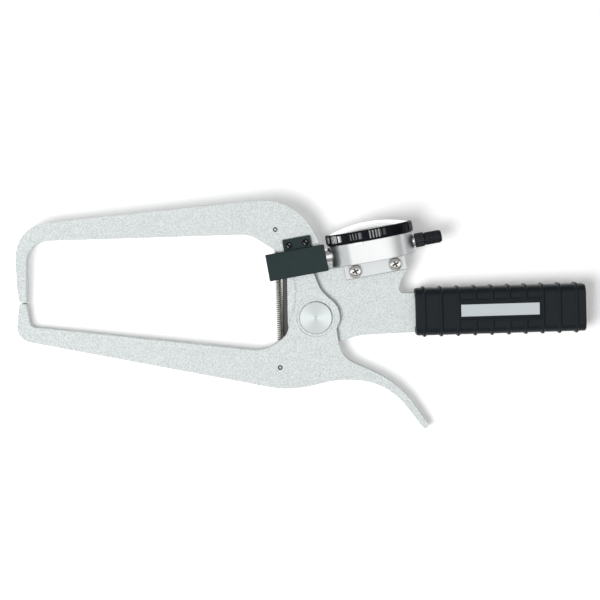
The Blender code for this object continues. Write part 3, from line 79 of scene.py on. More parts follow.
# The floor. The tool lies on it as it really would: on the jaws' end, the rim of the bezel and the tip of the
# trigger. It is white paper, which keeps the tool's soft shadow and stays white where the lamps don't reach.
JAW_FOOT = Vector((-0.1434, 0.0000, 0.0))
TRIGGER_FOOT = Vector((0.0545, -0.0520, 0.0))
BEZEL_FOOT = Vector((0.0259, 0.0381, -0.0133))
FLOOR_SIZE = 3.0
FLOOR_CLEAR = 0.0004
PAPER_WHITE = (0.96, 0.96, 0.96, 1)
FLOOR_GLOW = 0.27
FLOOR_NEAR = 0.35
FLOOR_FAR = 0.85


class Shade:
    """A number, colour, place or shader on its way through nodes. Sums on numbers add the nodes they need."""

    def __init__(self, nodes, socket):
        self.nodes = nodes
        self.socket = socket

    def sum(self, operation, first, second=0.0):
        return self.nodes.add("Math", {"operation": operation}, {0: first, 1: second})

    def __add__(self, other):
        return self.sum("ADD", self, other)

    def __radd__(self, other):
        return self.sum("ADD", other, self)

    def __sub__(self, other):
        return self.sum("SUBTRACT", self, other)

    def __rsub__(self, other):
        return self.sum("SUBTRACT", other, self)

    def __mul__(self, other):
        return self.sum("MULTIPLY", self, other)

    def __rmul__(self, other):
        return self.sum("MULTIPLY", other, self)

    def __truediv__(self, other):
        return self.sum("DIVIDE", self, other)

    def __pow__(self, other):
        return self.sum("POWER", self, other)

    def __abs__(self):
        return self.sum("ABSOLUTE", self)

    def above(self, level):
        return self.sum("GREATER_THAN", self, level)

    def below(self, level):
        return self.sum("LESS_THAN", self, level)

    def between(self, low, high):
        return self.above(low) * self.below(high)

    def at_least(self, level):
        return self.sum("MAXIMUM", self, level)

    def at_most(self, level):
        return self.sum("MINIMUM", self, level)


class Nodes:
    """The nodes of a finish or of the room."""

    def __init__(self, owner):
        owner.use_nodes = True
        self.tree = owner.node_tree

    def add(self, kind, settings=None, sockets=None, output=0):
        """A node of one kind: its settings, then the values or links of its sockets."""
        node = self.tree.nodes.new("ShaderNode" + kind)
        for setting, value in (settings or {}).items():
            setattr(node, setting, value)
        for socket, value in (sockets or {}).items():
            self.join(node.inputs[socket], value)
        return Shade(self, node.outputs[output])

    def join(self, socket, value):
        if isinstance(value, Shade):
            self.tree.links.new(value.socket, socket)
        elif isinstance(value, tuple) and len(socket.default_value) == 4:
            socket.default_value = (*value[:3], 1)
        else:
            socket.default_value = value

    def part(self, place, index):
        return self.add("SeparateXYZ", None, {0: place}, index)

    def slope(self, value, start, end, low=0.0, high=1.0):
        """Goes smoothly from low to high while a value goes from start to end."""
        sockets = {"Value": value, "From Min": start, "From Max": end, "To Min": low, "To Max": high}
        return self.add("MapRange", {"interpolation_type": "SMOOTHSTEP"}, sockets)

    def seen_by(self, *rays):
        """One for the kinds of ray that are named, nothing for all others."""
        share = 0.0
        for ray in rays:
            share = self.add("LightPath", output=f"Is {ray} Ray").at_least(share)
        return share


class Finish(Nodes):
    """One finish: a shader whose constant sockets are set at once, and the nodes that vary the others."""

    def __init__(self, name, constants):
        self.material = bpy.data.materials.new(name)
        super().__init__(self.material)
        self.shader = self.tree.nodes["Principled BSDF"]
        for socket, value in constants.items():
            self.shader.inputs[socket].default_value = value

    def place(self, axes=None, stretch=(1, 1, 1)):
        """Where a point lies on the piece, in metres, or in axes of its own and stretched."""
        here = self.add("TexCoord", output="Object")
        if axes is not None:
            spot, turn = tuple(axes.translation), tuple(axes.to_euler())
            sockets = {"Vector": here, "Location": spot, "Rotation": turn}
            here = self.add("Mapping", {"vector_type": "TEXTURE"}, sockets)
        if stretch != (1, 1, 1):
            here = self.add("Mapping", None, {"Vector": here, "Scale": stretch})
        return here

    def radius(self, place):
        across = self.part(place, 0)
        up = self.part(place, 1)
        return (across * across + up * up) ** 0.5

    def grain(self, place, scale, detail=2.0):
        return self.add("TexNoise", None, {"Vector": place, "Scale": scale, "Detail": detail})

    def lines(self, along, scale):
        """Fine uneven lines that change with one number only."""
        return self.add("TexNoise", {"noise_dimensions": "1D"}, {"W": along, "Scale": scale, "Detail": 2.0})

    def flakes(self, place, scale):
        """An even shade of its own for each small cell."""
        cells = self.add("TexVoronoi", None, {"Vector": place, "Scale": scale}, "Color")
        return self.add("SeparateColor", None, {0: cells})

    def edges(self):
        """Where a piece turns over from its front or back face into its flanks."""
        return abs(self.part(self.add("TexCoord", output="Normal"), 2)).between(0.25, 0.985)

    def mix(self, share, first, second):
        return self.add("Mix", {"data_type": "RGBA"}, {0: share, 6: first, 7: second}, 2)

    def set(self, socket, value):
        self.join(self.shader.inputs[socket], value)

    def tint(self, share, first, second):
        """The colour of the whole finish, between two others."""
        self.set("Base Color", self.mix(share, first, second))

    def stain(self, share, colour):
        """Lays one more colour over the colour so far."""
        self.tint(share, Shade(self, self.shader.inputs["Base Color"].links[0].from_socket), colour)

    def bump(self, height, distance, strength=1.0):
        sockets = {"Strength": strength, "Distance": distance, "Height": height}
        self.set("Normal", self.add("Bump", None, sockets))


floor_up = (TRIGGER_FOOT - JAW_FOOT).cross(BEZEL_FOOT - JAW_FOOT).normalized()
bpy.ops.mesh.primitive_plane_add(size=FLOOR_SIZE, location=JAW_FOOT - floor_up * FLOOR_CLEAR)
floor = bpy.context.object
floor.name = "floor"
floor.rotation_mode = "QUATERNION"
floor.rotation_quaternion = floor_up.to_track_quat("Z", "Y")

paper = Finish("floor_paper", {"Base Color": PAPER_WHITE, "Roughness": 0.9, "Specular IOR Level": 0.1})
paper_away = paper.add("VectorMath", {"operation": "LENGTH"}, {0: paper.place()}, "Value")
paper_strength = paper.slope(paper_away, FLOOR_NEAR, FLOOR_FAR, FLOOR_GLOW, 1.0)
paper_strength = paper.seen_by("Camera", "Glossy", "Transmission") * paper_strength
paper_glow = paper.add("Emission", None, {"Strength": paper_strength})
paper_lit = Shade(paper, paper.shader.outputs[0])
paper_all = paper.add("AddShader", None, {0: paper_lit, 1: paper_glow})
paper.join(paper.tree.nodes["Material Output"].inputs["Surface"], paper_all)
floor.data.materials.append(paper.material)


# The light. One large soft lamp stands at the left and a weak one at the right. Gloss and glass see only the
# white room, which stays grey at its far right, at its near and far ends, and overhead, behind the camera:
# each of the three goes from one place to another, and from one brightness to another.
ROOM_FILL = 0.20
ROOM_BRIGHT_WAY = (-0.50, -0.10, 0.86)
ROOM_SIDES = (-0.40, 0.26, 0.28, 1.15)
ROOM_OVERHEAD = (0.93, 0.985, 1.0, 0.98)
ROOM_ENDS = (0.15, 0.60, 1.0, 0.26)
LAMPS = (
    ("key_lamp", (-0.33, -0.14, 1.10), 0.45, 10.6),
    ("side_lamp", (0.40, 0.00, 1.15), 0.40, 0.8),
)

for lamp_name, lamp_place, lamp_size, lamp_power in LAMPS:
    bpy.ops.object.light_add(type="AREA", location=lamp_place)
    lamp = bpy.context.object
    lamp.name = lamp_name
    lamp.data.shape = "DISK"
    lamp.data.size = lamp_size
    lamp.data.energy = lamp_power
    lamp.visible_glossy = False
    lamp.rotation_mode = "QUATERNION"
    lamp.rotation_quaternion = Vector(lamp_place).to_track_quat("Z", "Y")

room = bpy.data.worlds.new("white_room")
bpy.context.scene.world = room
air = Nodes(room)
room_way = air.add("TexCoord", output="Generated")
room_side = air.add("VectorMath", {"operation": "DOT_PRODUCT"}, {0: room_way, 1: ROOM_BRIGHT_WAY}, "Value")
room_shine = air.slope(room_side, *ROOM_SIDES)
room_shine = room_shine * air.slope(air.part(room_way, 2), *ROOM_OVERHEAD)
room_shine = room_shine * air.slope(abs(air.part(room_way, 1)), *ROOM_ENDS)


def glow(strength):
    return air.add("Background", None, {"Color": (1, 1, 1), "Strength": strength})


room_lit = air.add("MixShader", None, {0: air.seen_by("Glossy"), 1: glow(ROOM_FILL), 2: glow(room_shine)})
room_seen = air.seen_by("Camera", "Transmission")
room_all = air.add("MixShader", None, {0: room_seen, 1: room_lit, 2: glow(1.0)})
air.join(air.tree.nodes["World Output"].inputs["Surface"], room_all)


# Frame. The upper jaw, the web under the gauge and the tang are one aluminium casting, sprayed with silver
# hammer paint, which rounds its edges. Painted shade darkens the edges, the low lap beside the lever's arm, a
# ring round the pivot cap and a fainter ring round its sink.
FRAME_EDGE = 0.00035
PAINT_PALE = (0.960, 1.000, 0.995)
PAINT_DARK = (0.445, 0.494, 0.489)
FLAKES_PER_METRE = 3300
RIPPLES_PER_METRE = 3000
CLOUDS_PER_METRE = 30
FLAKE_SHARE, RIPPLE_SHARE, CLOUD_SHARE = 0.65, 0.30, 0.05
PAINTED_SHADE_COLOUR = (0.050, 0.055, 0.055)
EDGE_SHADE_SHARE = 0.13
OPEN_EDGE_SHADE_SHARE = 0.55
FRONT_LEVEL = 0.0085
CAP_SHADOW_RING, CAP_SHADOW_SHARE = (0.0074, 0.0080), 0.45
SINK_SHADE_RING, SINK_SHADE_SHARE = (0.0088, 0.0093), 0.05
SINK_OUT = 0.0100
ARM_SIDES = (-0.0122, -0.0080)
ARM_FOOT = 0.0030
LAP_SIDES, LAP_ENDS, LAP_LEVELS = (-0.0165, -0.0130), (-0.0101, 0.0228), (0.0005, 0.0012)
LAP_SHADE_COLOUR = (0.100, 0.103, 0.100)
SHARP = math.radians(34)


def take(piece):
    """Makes one object the only selected one."""
    bpy.ops.object.select_all(action="DESELECT")
    piece.select_set(True)
    bpy.context.view_layer.objects.active = piece


def smooth(piece, angle=SHARP):
    """Smooth shading that leaves the large faces flat up to their rounded edges."""
    take(piece)
    bpy.ops.object.shade_smooth_by_angle(angle=angle)
    flat = piece.modifiers.new("flat", "WEIGHTED_NORMAL")
    flat.keep_sharp = True
    bpy.ops.object.modifier_apply(modifier="flat")


def round_edges(piece, width, segments=2):
    take(piece)
    bevel = piece.modifiers.new("edges", "BEVEL")
    bevel.width = width
    bevel.segments = segments
    bevel.limit_method = "ANGLE"
    bevel.angle_limit = SHARP
    bevel.use_clamp_overlap = True
    bevel.miter_outer = "MITER_ARC"
    bpy.ops.object.modifier_apply(modifier="edges")
    smooth(piece)


def rounded_copy(node, width):
    """A copy of a CAD solid, merged into whole faces, with its edges rounded."""
    piece = bpy.data.objects.new(node + "_shape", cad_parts[node].data.copy())
    bpy.context.scene.collection.objects.link(piece)
    take(piece)
    bpy.ops.object.mode_set(mode="EDIT")
    bpy.ops.mesh.select_all(action="SELECT")
    bpy.ops.mesh.remove_doubles(threshold=0.000002)
    bpy.ops.mesh.dissolve_limited(angle_limit=math.radians(0.5))
    bpy.ops.object.mode_set(mode="OBJECT")
    round_edges(piece, width)
    return piece


def fit(piece, body, slot, finish, *nodes):
    """Puts a finished piece on its body, in its finish, in the place of the CAD solids it stands for."""
    piece.data.materials.clear()
    piece.data.materials.append(finish.material)
    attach(piece, body)
    if nodes:
        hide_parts(*nodes)


paint = Finish("hammer_paint", {"Metallic": 0.15, "Specular IOR Level": 0.3})
paint_place = paint.place()
paint_along, paint_out, paint_up = (paint.part(paint_place, axis) for axis in range(3))
paint_flakes = paint.flakes(paint_place, FLAKES_PER_METRE)
paint_ripples = paint.grain(paint_place, RIPPLES_PER_METRE, 3.0)
paint_cloud = paint.grain(paint_place, CLOUDS_PER_METRE, 1.0)
paint_tone = paint_flakes * FLAKE_SHARE + paint_ripples * RIPPLE_SHARE + paint_cloud * CLOUD_SHARE
paint.tint(paint_tone, PAINT_DARK, PAINT_PALE)
pivot_reach = paint.radius(paint_place)
front = paint_up.above(FRONT_LEVEL)
on_arm = paint_along.between(*ARM_SIDES) * paint_out.above(ARM_FOOT) * front
open_edge = pivot_reach.above(SINK_OUT) * (1 - on_arm)
# Painted shade along the edges, stronger where they lie open, in a ring round the pivot cap and a faint ring
# round its sink.
painted_edge_and_ring_shade = paint.edges() * (open_edge * OPEN_EDGE_SHADE_SHARE + EDGE_SHADE_SHARE)
for ring, ring_shade_share in ((CAP_SHADOW_RING, CAP_SHADOW_SHARE), (SINK_SHADE_RING, SINK_SHADE_SHARE)):
    painted_edge_and_ring_shade = painted_edge_and_ring_shade + pivot_reach.between(*ring) * front * ring_shade_share
paint.stain(painted_edge_and_ring_shade, PAINTED_SHADE_COLOUR)
# Painted shade on the low lap beside the lever's arm.
low_lap_shade = paint_along.between(*LAP_SIDES) * paint_out.between(*LAP_ENDS) * paint_up.between(*LAP_LEVELS)
paint.stain(low_lap_shade, LAP_SHADE_COLOUR)
paint.set("Roughness", 0.36 + paint_flakes * 0.16)
paint.bump(paint_ripples + paint_flakes * 0.25, 0.00012, 0.5)

fixed_frame = rounded_copy("fixed_frame", FRAME_EDGE)
fit(fixed_frame, "frame", "hammer_paint", paint, "fixed_frame")


# Lever. The lower jaw, the round lobe at the pivot, the arm under the cover and the finger trigger are a
# second casting in the same paint. The arm's front is scooped a little along its left side.
LEVER_EDGE = 0.00035
LEVER_TOP = 0.0093
SCOOP_LOW = Vector((-0.0142, 0.0036, LEVER_TOP - 0.00026))
SCOOP_HIGH = Vector((-0.0100, 0.0198, LEVER_TOP + 0.0007))
SCOOP_SLOPE = 0.00034
SCOOP_LEAN = 0.0022
SCOOP_BOW = 0.0010


def carve(piece, cutter):
    """Cuts one piece out of another and takes the cutter away."""
    take(piece)
    step = piece.modifiers.new("carve", "BOOLEAN")
    step.operation = "DIFFERENCE"
    step.object = cutter
    bpy.ops.object.modifier_apply(modifier="carve")
    bpy.data.objects.remove(cutter, do_unlink=True)
    smooth(piece)


def block(name, low, high, axes=Matrix.Identity(4), edge=0.0, segments=2):
    """A block between two corners in some axes, with rounded edges."""
    bpy.ops.object.select_all(action="DESELECT")
    bpy.ops.mesh.primitive_cube_add(size=1)
    piece = bpy.context.object
    piece.name = name
    size = Vector(high) - Vector(low)
    middle = (Vector(high) + Vector(low)) / 2
    bpy.ops.object.mode_set(mode="EDIT")
    bpy.ops.transform.resize(value=size)
    bpy.ops.transform.translate(value=middle)
    bpy.ops.object.mode_set(mode="OBJECT")
    if edge:
        round_edges(piece, edge, segments)
    piece.data.transform(axes)
    return piece


lever = rounded_copy("lever", LEVER_EDGE)
scoop = block("scoop", SCOOP_LOW, SCOOP_HIGH)
take(scoop)
bpy.ops.object.mode_set(mode="EDIT")
bpy.ops.mesh.select_all(action="SELECT")
bpy.ops.mesh.subdivide(number_cuts=3)
bpy.ops.object.mode_set(mode="OBJECT")
scoop_size = SCOOP_HIGH - SCOOP_LOW
for corner in scoop.data.vertices:
    share_along, share_out, share_up = (
        (place - low) / size for place, low, size in zip(corner.co, SCOOP_LOW, scoop_size)
    )
    from_middle = 2 * share_out - 1
    corner.co.x += SCOOP_LEAN * share_along * share_up - SCOOP_BOW * from_middle ** 2
    corner.co.y += SCOOP_LEAN * from_middle * share_up * 0.5
    corner.co.z += SCOOP_SLOPE * (1 - share_along) * (1 - share_up)
carve(lever, scoop)
fit(lever, "lever", "hammer_paint", paint, "lever")


# Pivot. A steel bolt with a flat turned cap, still with the lathe's centre mark, goes through a bronze bush in
# the lever. A blind nut closes it behind, flush with the rear face.
CAP_RADIUS = 0.0076
CAP_SEAT = 0.0093
CAP_TOP = 0.0108
CAP_EDGE = 0.0003
MARK_OUT, MARK_IN, MARK_DEPTH = 0.0006, 0.0004, 0.0002
SHANK_RADIUS = 0.0030
SHANK_TIP = 0.0009
TURNING_LINES = 9000
tool_axes = Matrix.Identity(4)


def turned(name, profile, axes, edge=0.0, hollow=False, sides=96):
    """A turned piece: a ring pulled along its axis and widened, step by step, through (radius, along) pairs."""
    bpy.ops.object.select_all(action="DESELECT")
    radius, along = profile[0]
    fill = "NOTHING" if hollow else "NGON"
    bpy.ops.mesh.primitive_circle_add(vertices=sides, radius=radius, fill_type=fill)
    piece = bpy.context.object
    piece.name = name
    bpy.ops.object.mode_set(mode="EDIT")
    bpy.ops.mesh.select_all(action="SELECT")
    bpy.ops.transform.translate(value=(0, 0, along))
    for next_radius, next_along in profile[1:]:
        step = (0, 0, next_along - along)
        bpy.ops.mesh.extrude_region_move(TRANSFORM_OT_translate={"value": step})
        growth = next_radius / radius
        bpy.ops.transform.resize(value=(growth, growth, 1), center_override=(0, 0, next_along))
        radius, along = next_radius, next_along
    if hollow:
        bpy.ops.mesh.select_all(action="DESELECT")
        bpy.ops.mesh.select_non_manifold()
        bpy.ops.mesh.bridge_edge_loops()
    bpy.ops.mesh.select_all(action="SELECT")
    bpy.ops.mesh.normals_make_consistent(inside=False)
    bpy.ops.object.mode_set(mode="OBJECT")
    if edge:
        round_edges(piece, edge)
    else:
        smooth(piece)
    piece.data.transform(axes)
    return piece


def dress(finish, *nodes):
    """Gives CAD solids whose shape is right a finish of their own."""
    for node in nodes:
        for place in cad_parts[node].material_slots:
            place.link = "OBJECT"
            place.material = finish.material


def turned_metal(name, colour, roughness, axes, depth=0.00001, stretched=0.0):
    """Metal faced on a lathe: fine rings round an axis, and the same lines round its flanks."""
    metal = Finish(name, {"Metallic": 1.0, "Anisotropic": stretched, "Anisotropic Rotation": 0.25})
    here = metal.place(axes)
    ring = metal.lines(metal.radius(here), TURNING_LINES)
    flank = metal.lines(metal.part(here, 2), TURNING_LINES)
    cloud = metal.grain(here, 160)
    wear = ring * 0.5 + flank * 0.5
    darker = tuple(part * 0.92 for part in colour)
    metal.tint(wear * 0.7 + cloud * 0.3, darker, colour)
    metal.set("Roughness", roughness + cloud * 0.08)
    metal.bump(ring + flank, depth, 0.6)
    return metal


def clouded(name, constants, clouds, dark, pale, roughness, spread, depth=0.0, detail=2.0, strength=0.3):
    """A plain finish. Its colour and its gloss change in soft clouds, so many to the metre."""
    finish = Finish(name, constants)
    cloud = finish.grain(finish.place(), clouds, detail)
    finish.tint(cloud, dark, pale)
    finish.set("Roughness", roughness + cloud * spread)
    if depth:
        finish.bump(cloud, depth, strength)
    return finish


cap_metal = turned_metal("pivot_metal", (0.80, 0.86, 0.85), 0.27, tool_axes, stretched=0.92)
pivot_bolt = turned("pivot_bolt_shape", [
    (SHANK_RADIUS, SHANK_TIP), (SHANK_RADIUS, CAP_SEAT), (CAP_RADIUS, CAP_SEAT), (CAP_RADIUS, CAP_TOP),
    (MARK_OUT, CAP_TOP), (MARK_IN, CAP_TOP - MARK_DEPTH),
], tool_axes, CAP_EDGE)
fit(pivot_bolt, "frame", "steel", cap_metal, "pivot_bolt")

bronze = clouded("pivot_bronze", {"Metallic": 1.0}, 300, (0.42, 0.26, 0.11), (0.62, 0.42, 0.20), 0.35, 0.15)
dress(bronze, "pivot_bush")
dress(cap_metal, "pivot_nut")


# Spring pins. Two steel cross pins hold the ends of the spring, one pressed through each jaw. Their rims are
# chamfered and carry painted shade.
SPRING_PINS = (("upper_spring_pin", (-0.0194, 0.0422, 0)), ("lower_spring_pin", (-0.0170, -0.0239, 0)))
PIN_CHAMFER = 0.0006

for pin_name, pin_place in SPRING_PINS:
    pin_steel = Finish(pin_name + "_steel", {"Metallic": 0.6})
    pin_here = pin_steel.place(Matrix.Translation(pin_place))
    pin_cloud = pin_steel.grain(pin_here, 1200)
    pin_rim_shade = pin_steel.radius(pin_here).above(PIN_CHAMFER)
    pin_steel.tint(pin_cloud, (0.50, 0.51, 0.50), (0.62, 0.63, 0.62))
    # Painted shade on the pins' rims.
    pin_steel.stain(pin_rim_shade, (0.012, 0.013, 0.014))
    pin_steel.set("Roughness", 0.28 + pin_cloud * 0.15)
    dress(pin_steel, pin_name)


# Tension spring. It is wound close from fine spring wire, a little brown from its heat treatment, and pulls
# the jaws together from one pin to the other.
SPRING_TOP = Vector((-0.0194, 0.0422, 0.0026))
SPRING_FOOT = Vector((-0.0170, -0.0239, 0.0026))
SPRING_CLEAR = 0.0013
SPRING_RADIUS = 0.00134
SPRING_WIRE = 0.00029
SPRING_PITCH = 0.00095
SPRING_BULGE = 0.0006
SPRING_CURL_POINTS = 12


def coil(name, start, end, radius, wire, pitch, closing, sides_up, bulge=0.0):
    """A wound spring between two points, on its axis at both ends, made of wire round a helix."""
    along = end - start
    turns = round(along.length / pitch)
    steps = turns * SPRING_CURL_POINTS
    ahead = along.normalized()
    across = ahead.cross(sides_up).normalized()
    up = across.cross(ahead)
    curve = bpy.data.curves.new(name, "CURVE")
    curve.dimensions = "3D"
    curve.bevel_depth = wire
    curve.bevel_resolution = 1
    curve.use_fill_caps = True
    line = curve.splines.new("POLY")
    line.points.add(steps)
    for step, point in enumerate(line.points):
        angle = math.tau * step / SPRING_CURL_POINTS
        widening = min(1, step / closing, (steps - step) / closing)
        reach = radius * widening
        share = step / steps
        aside = bulge * min(1, 14 * share * (1 - share))
        place = start + along * share - across * (aside + reach * math.cos(angle)) + up * reach * math.sin(angle)
        point.co = (*place, 1)
    piece = bpy.data.objects.new(name, curve)
    bpy.context.scene.collection.objects.link(piece)
    take(piece)
    bpy.ops.object.convert(target="MESH")
    bpy.ops.object.shade_smooth_by_angle(angle=math.radians(60))
    return bpy.context.object


wire = clouded(
    "spring_wire", {"Metallic": 1.0}, 900, (0.15, 0.145, 0.125), (0.44, 0.42, 0.37), 0.28, 0.15,
    0.00001, 3.0, 0.4,
)
spring_way = (SPRING_FOOT - SPRING_TOP).normalized()
spring_start = SPRING_TOP + spring_way * SPRING_CLEAR
spring_end = SPRING_FOOT - spring_way * SPRING_CLEAR
up_way = Vector((0, 0, 1))
tension_spring = coil(
    "tension_spring_shape", spring_start, spring_end, SPRING_RADIUS, SPRING_WIRE, SPRING_PITCH,
    SPRING_CURL_POINTS, up_way, SPRING_BULGE,
)
tension_spring.data.materials.append(wire.material)
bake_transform(tension_spring)
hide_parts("tension_spring")


# Cover block. A black coated shell closes over the lever's head and the spindle's foot. Its tab is screwed
# to the upper jaw by two small black screws.
SPINDLE_TILT = math.radians(10.5)
SPINDLE_ARM = 0.0276
COVER_EDGE = 0.0003
COVER_SCREWS = ((-0.00645, 0.0088), (0.00165, 0.0088))
COVER_SCREW_TIP = 0.0053
COVER_SCREW_SEAT = 0.0119
COVER_SCREW_TOP = 0.0129
COVER_SCREW_SHANK = 0.0008
COVER_SCREW_HEAD = 0.00145
COVER_SCREW_GLINT_RING = (0.0005, 0.0009)
COVER_CROSS = (0.0008, 0.00018)
CROSS_TURN = math.radians(20)
CROSS_TAPER = 0.45

foot = Vector((-math.sin(SPINDLE_TILT) * SPINDLE_ARM, math.cos(SPINDLE_TILT) * SPINDLE_ARM, 0))
arm_axes = Matrix.Translation(foot) @ Matrix.Rotation(SPINDLE_TILT, 4, "Z")

slate = Finish("slate_coat", {"Specular IOR Level": 0.15})
slate_place = slate.place()
slate_fine = slate.grain(slate_place, 5200, 2.0)
slate_cloud = slate.grain(slate_place, 240)
slate.tint(slate_fine * 0.6 + slate_cloud * 0.4, (0.020, 0.031, 0.032), (0.034, 0.049, 0.050))
# Painted shade darkens the shell's edges.
slate.stain(slate.edges() * 0.7, (0.006, 0.008, 0.009))
slate.set("Roughness", 0.5 + slate_fine * 0.2)
slate.bump(slate_fine, 0.00002, 0.5)

cover_block = rounded_copy("cover_block", COVER_EDGE)
fit(cover_block, "frame", "slate_cover", slate, "cover_block")


def cross_cutter(centre, low, high, reach, width):
    """A cross that narrows downwards, for the recess of a screw."""
    arms = []
    for turn in (0, math.pi / 2):
        arm = block("arm", (-reach, -width, low), (reach, width, high))
        for corner in arm.data.vertices:
            if corner.co.z < (low + high) / 2:
                corner.co.x *= CROSS_TAPER
        arm.data.transform(Matrix.Translation(centre) @ Matrix.Rotation(turn + CROSS_TURN, 4, "Z"))
        arms.append(arm)
    return arms


for cover_screw_name, (cover_along, cover_out) in zip(("cover_screw_left", "cover_screw_right"), COVER_SCREWS):
    cover_centre = Vector((cover_along, cover_out, 0))
    glint_black = Finish(cover_screw_name + "_steel", {"Metallic": 0.9})
    glint_here = glint_black.place(arm_axes @ Matrix.Translation(cover_centre))
    # Painted glints: bright patches on a ring round each screw's cross.
    glint_patches = glint_black.grain(glint_here, 1500, 1.0).above(0.55)
    glint_reach = glint_black.radius(glint_here)
    painted_glint_ring = glint_reach.between(*COVER_SCREW_GLINT_RING) * glint_patches
    glint_black.tint(painted_glint_ring, (0.010, 0.011, 0.012), (0.45, 0.46, 0.46))
    glint_black.set("Roughness", 0.15 + glint_black.grain(glint_here, 900) * 0.15)
    cover_screw = turned(cover_screw_name + "_shape", [
        (COVER_SCREW_SHANK, COVER_SCREW_TIP), (COVER_SCREW_SHANK, COVER_SCREW_SEAT),
        (COVER_SCREW_HEAD, COVER_SCREW_SEAT), (COVER_SCREW_HEAD, COVER_SCREW_SEAT + 0.0004),
        (0.0012, COVER_SCREW_TOP - 0.0001), (0.0007, COVER_SCREW_TOP),
    ], Matrix.Translation(cover_centre), 0.0001, sides=40)
    for cutter in cross_cutter(cover_centre, COVER_SCREW_TOP - 0.0006, COVER_SCREW_TOP + 0.0003, *COVER_CROSS):
        carve(cover_screw, cutter)
    cover_screw.data.transform(arm_axes)
    fit(cover_screw, "frame", "gloss_black", glint_black, cover_screw_name)


# Gauge case. It is turned from brass bar and plated satin bright, with the stem, the back and its lug fixed to
# it. Painted shade and dark reflections lie in bands towards its ends and along its back rim. Face axes start at
# the dial's centre: x to the reader's right, y up, z out of the dial.
GAUGE_REACH = 0.0324
SPINDLE_LEVEL = 0.0078
CASE_RADIUS = 0.0200
CASE_BACK = -0.00545
CASE_FRONT = 0.0048
CASE_BORE = 0.0160
CASE_FRONT_BORE = 0.0175
CASE_BACK_BORE = 0.0184
BACK_SEAT = CASE_BACK + 0.0010
PLATE_SEAT = 0.0024
CASE_EDGE = 0.00025
CASE_SHADE_COLOUR = (0.30, 0.32, 0.33)
CASE_BACK_SHADE_WIDTH, CASE_BACK_SHADE_SHARE = 0.0003, 0.4
CASE_SHADE_BANDS = ((0.0138, 0.0164, 0.80), (-0.0100, -0.0124, 0.55), (-0.0140, -0.0160, -0.50))

gauge_centre = arm_axes @ Vector((GAUGE_REACH, 0, SPINDLE_LEVEL))
spindle_way = Vector((math.cos(SPINDLE_TILT), math.sin(SPINDLE_TILT), 0))
face_way = Vector((-math.sin(SPINDLE_TILT), math.cos(SPINDLE_TILT), 0))
face_axes = Matrix.Translation(gauge_centre) @ Matrix((-spindle_way, up_way, face_way)).transposed().to_4x4()
spindle_axes = Matrix.Translation(gauge_centre) @ Matrix((face_way, up_way, spindle_way)).transposed().to_4x4()
gauge_axes = Matrix.Translation(gauge_centre) @ Matrix.Rotation(SPINDLE_TILT, 4, "Z")

case_metal = turned_metal("case_plate", (0.99, 0.995, 1.0), 0.30, face_axes, 0.000006)
case_here = case_metal.place(gauge_axes)
case_along = case_metal.part(case_here, 0)
# Painted shade and dark reflections: a dark band at the back rim and dark bands towards both ends.
case_painted_shade = case_metal.part(case_here, 1).below(CASE_BACK + CASE_BACK_SHADE_WIDTH) * CASE_BACK_SHADE_SHARE
for shade_none, shade_full, shade_share in CASE_SHADE_BANDS:
    case_painted_shade = case_painted_shade + case_metal.slope(case_along, shade_none, shade_full, 0.0, shade_share)
case_metal.stain(case_painted_shade.at_most(1.0), CASE_SHADE_COLOUR)
gauge_case = turned("gauge_case_shape", [
    (CASE_BORE, BACK_SEAT), (CASE_BACK_BORE, BACK_SEAT), (CASE_BACK_BORE, CASE_BACK), (CASE_RADIUS, CASE_BACK),
    (CASE_RADIUS, CASE_FRONT), (CASE_FRONT_BORE, CASE_FRONT), (CASE_FRONT_BORE, PLATE_SEAT),
    (CASE_BORE, PLATE_SEAT),
], face_axes, CASE_EDGE, hollow=True, sides=128)
fit(gauge_case, "frame", "chrome", case_metal, "gauge_case")

SPINDLE_BORE = 0.0023
STEM_RADIUS = 0.0040
STEM_START, STEM_END = -0.0248, -0.0178
stem_metal = turned_metal("stem_metal", (0.86, 0.87, 0.86), 0.07, spindle_axes, 0.000004)
gauge_stem = turned("gauge_stem_shape", [
    (SPINDLE_BORE, STEM_START), (STEM_RADIUS, STEM_START), (STEM_RADIUS, STEM_END), (SPINDLE_BORE, STEM_END),
], spindle_axes, 0.0002, hollow=True, sides=64)
fit(gauge_stem, "frame", "chrome", stem_metal, "gauge_stem")


def drawn_metal(name, colour, roughness, axes, stretch, bare=1.0):
    """Metal with fine lines drawn one way, by the grinding belt or the drawing die."""
    metal = Finish(name, {"Metallic": bare})
    streak = metal.grain(metal.place(axes, stretch), 1.0, 3.0)
    cloud = metal.grain(metal.place(axes), 140)
    darker = tuple(part * 0.85 for part in colour)
    metal.tint(streak * 0.7 + cloud * 0.3, darker, colour)
    metal.set("Roughness", roughness + streak * 0.12)
    metal.bump(streak, 0.00001, 0.5)
    return metal


LUG_HALF_WIDTH = 0.0149
LUG_REACH = 0.0127
LUG_EDGE_SHADE_WIDTH, LUG_EDGE_SHADE_SHARE = 0.00022, 0.8
LUG_EDGE_SHADE_COLOUR = (0.060, 0.063, 0.063)
back_plate = drawn_metal("back_plate", (0.85, 0.88, 0.88), 0.40, gauge_axes, (120, 2600, 2600), bare=0.4)
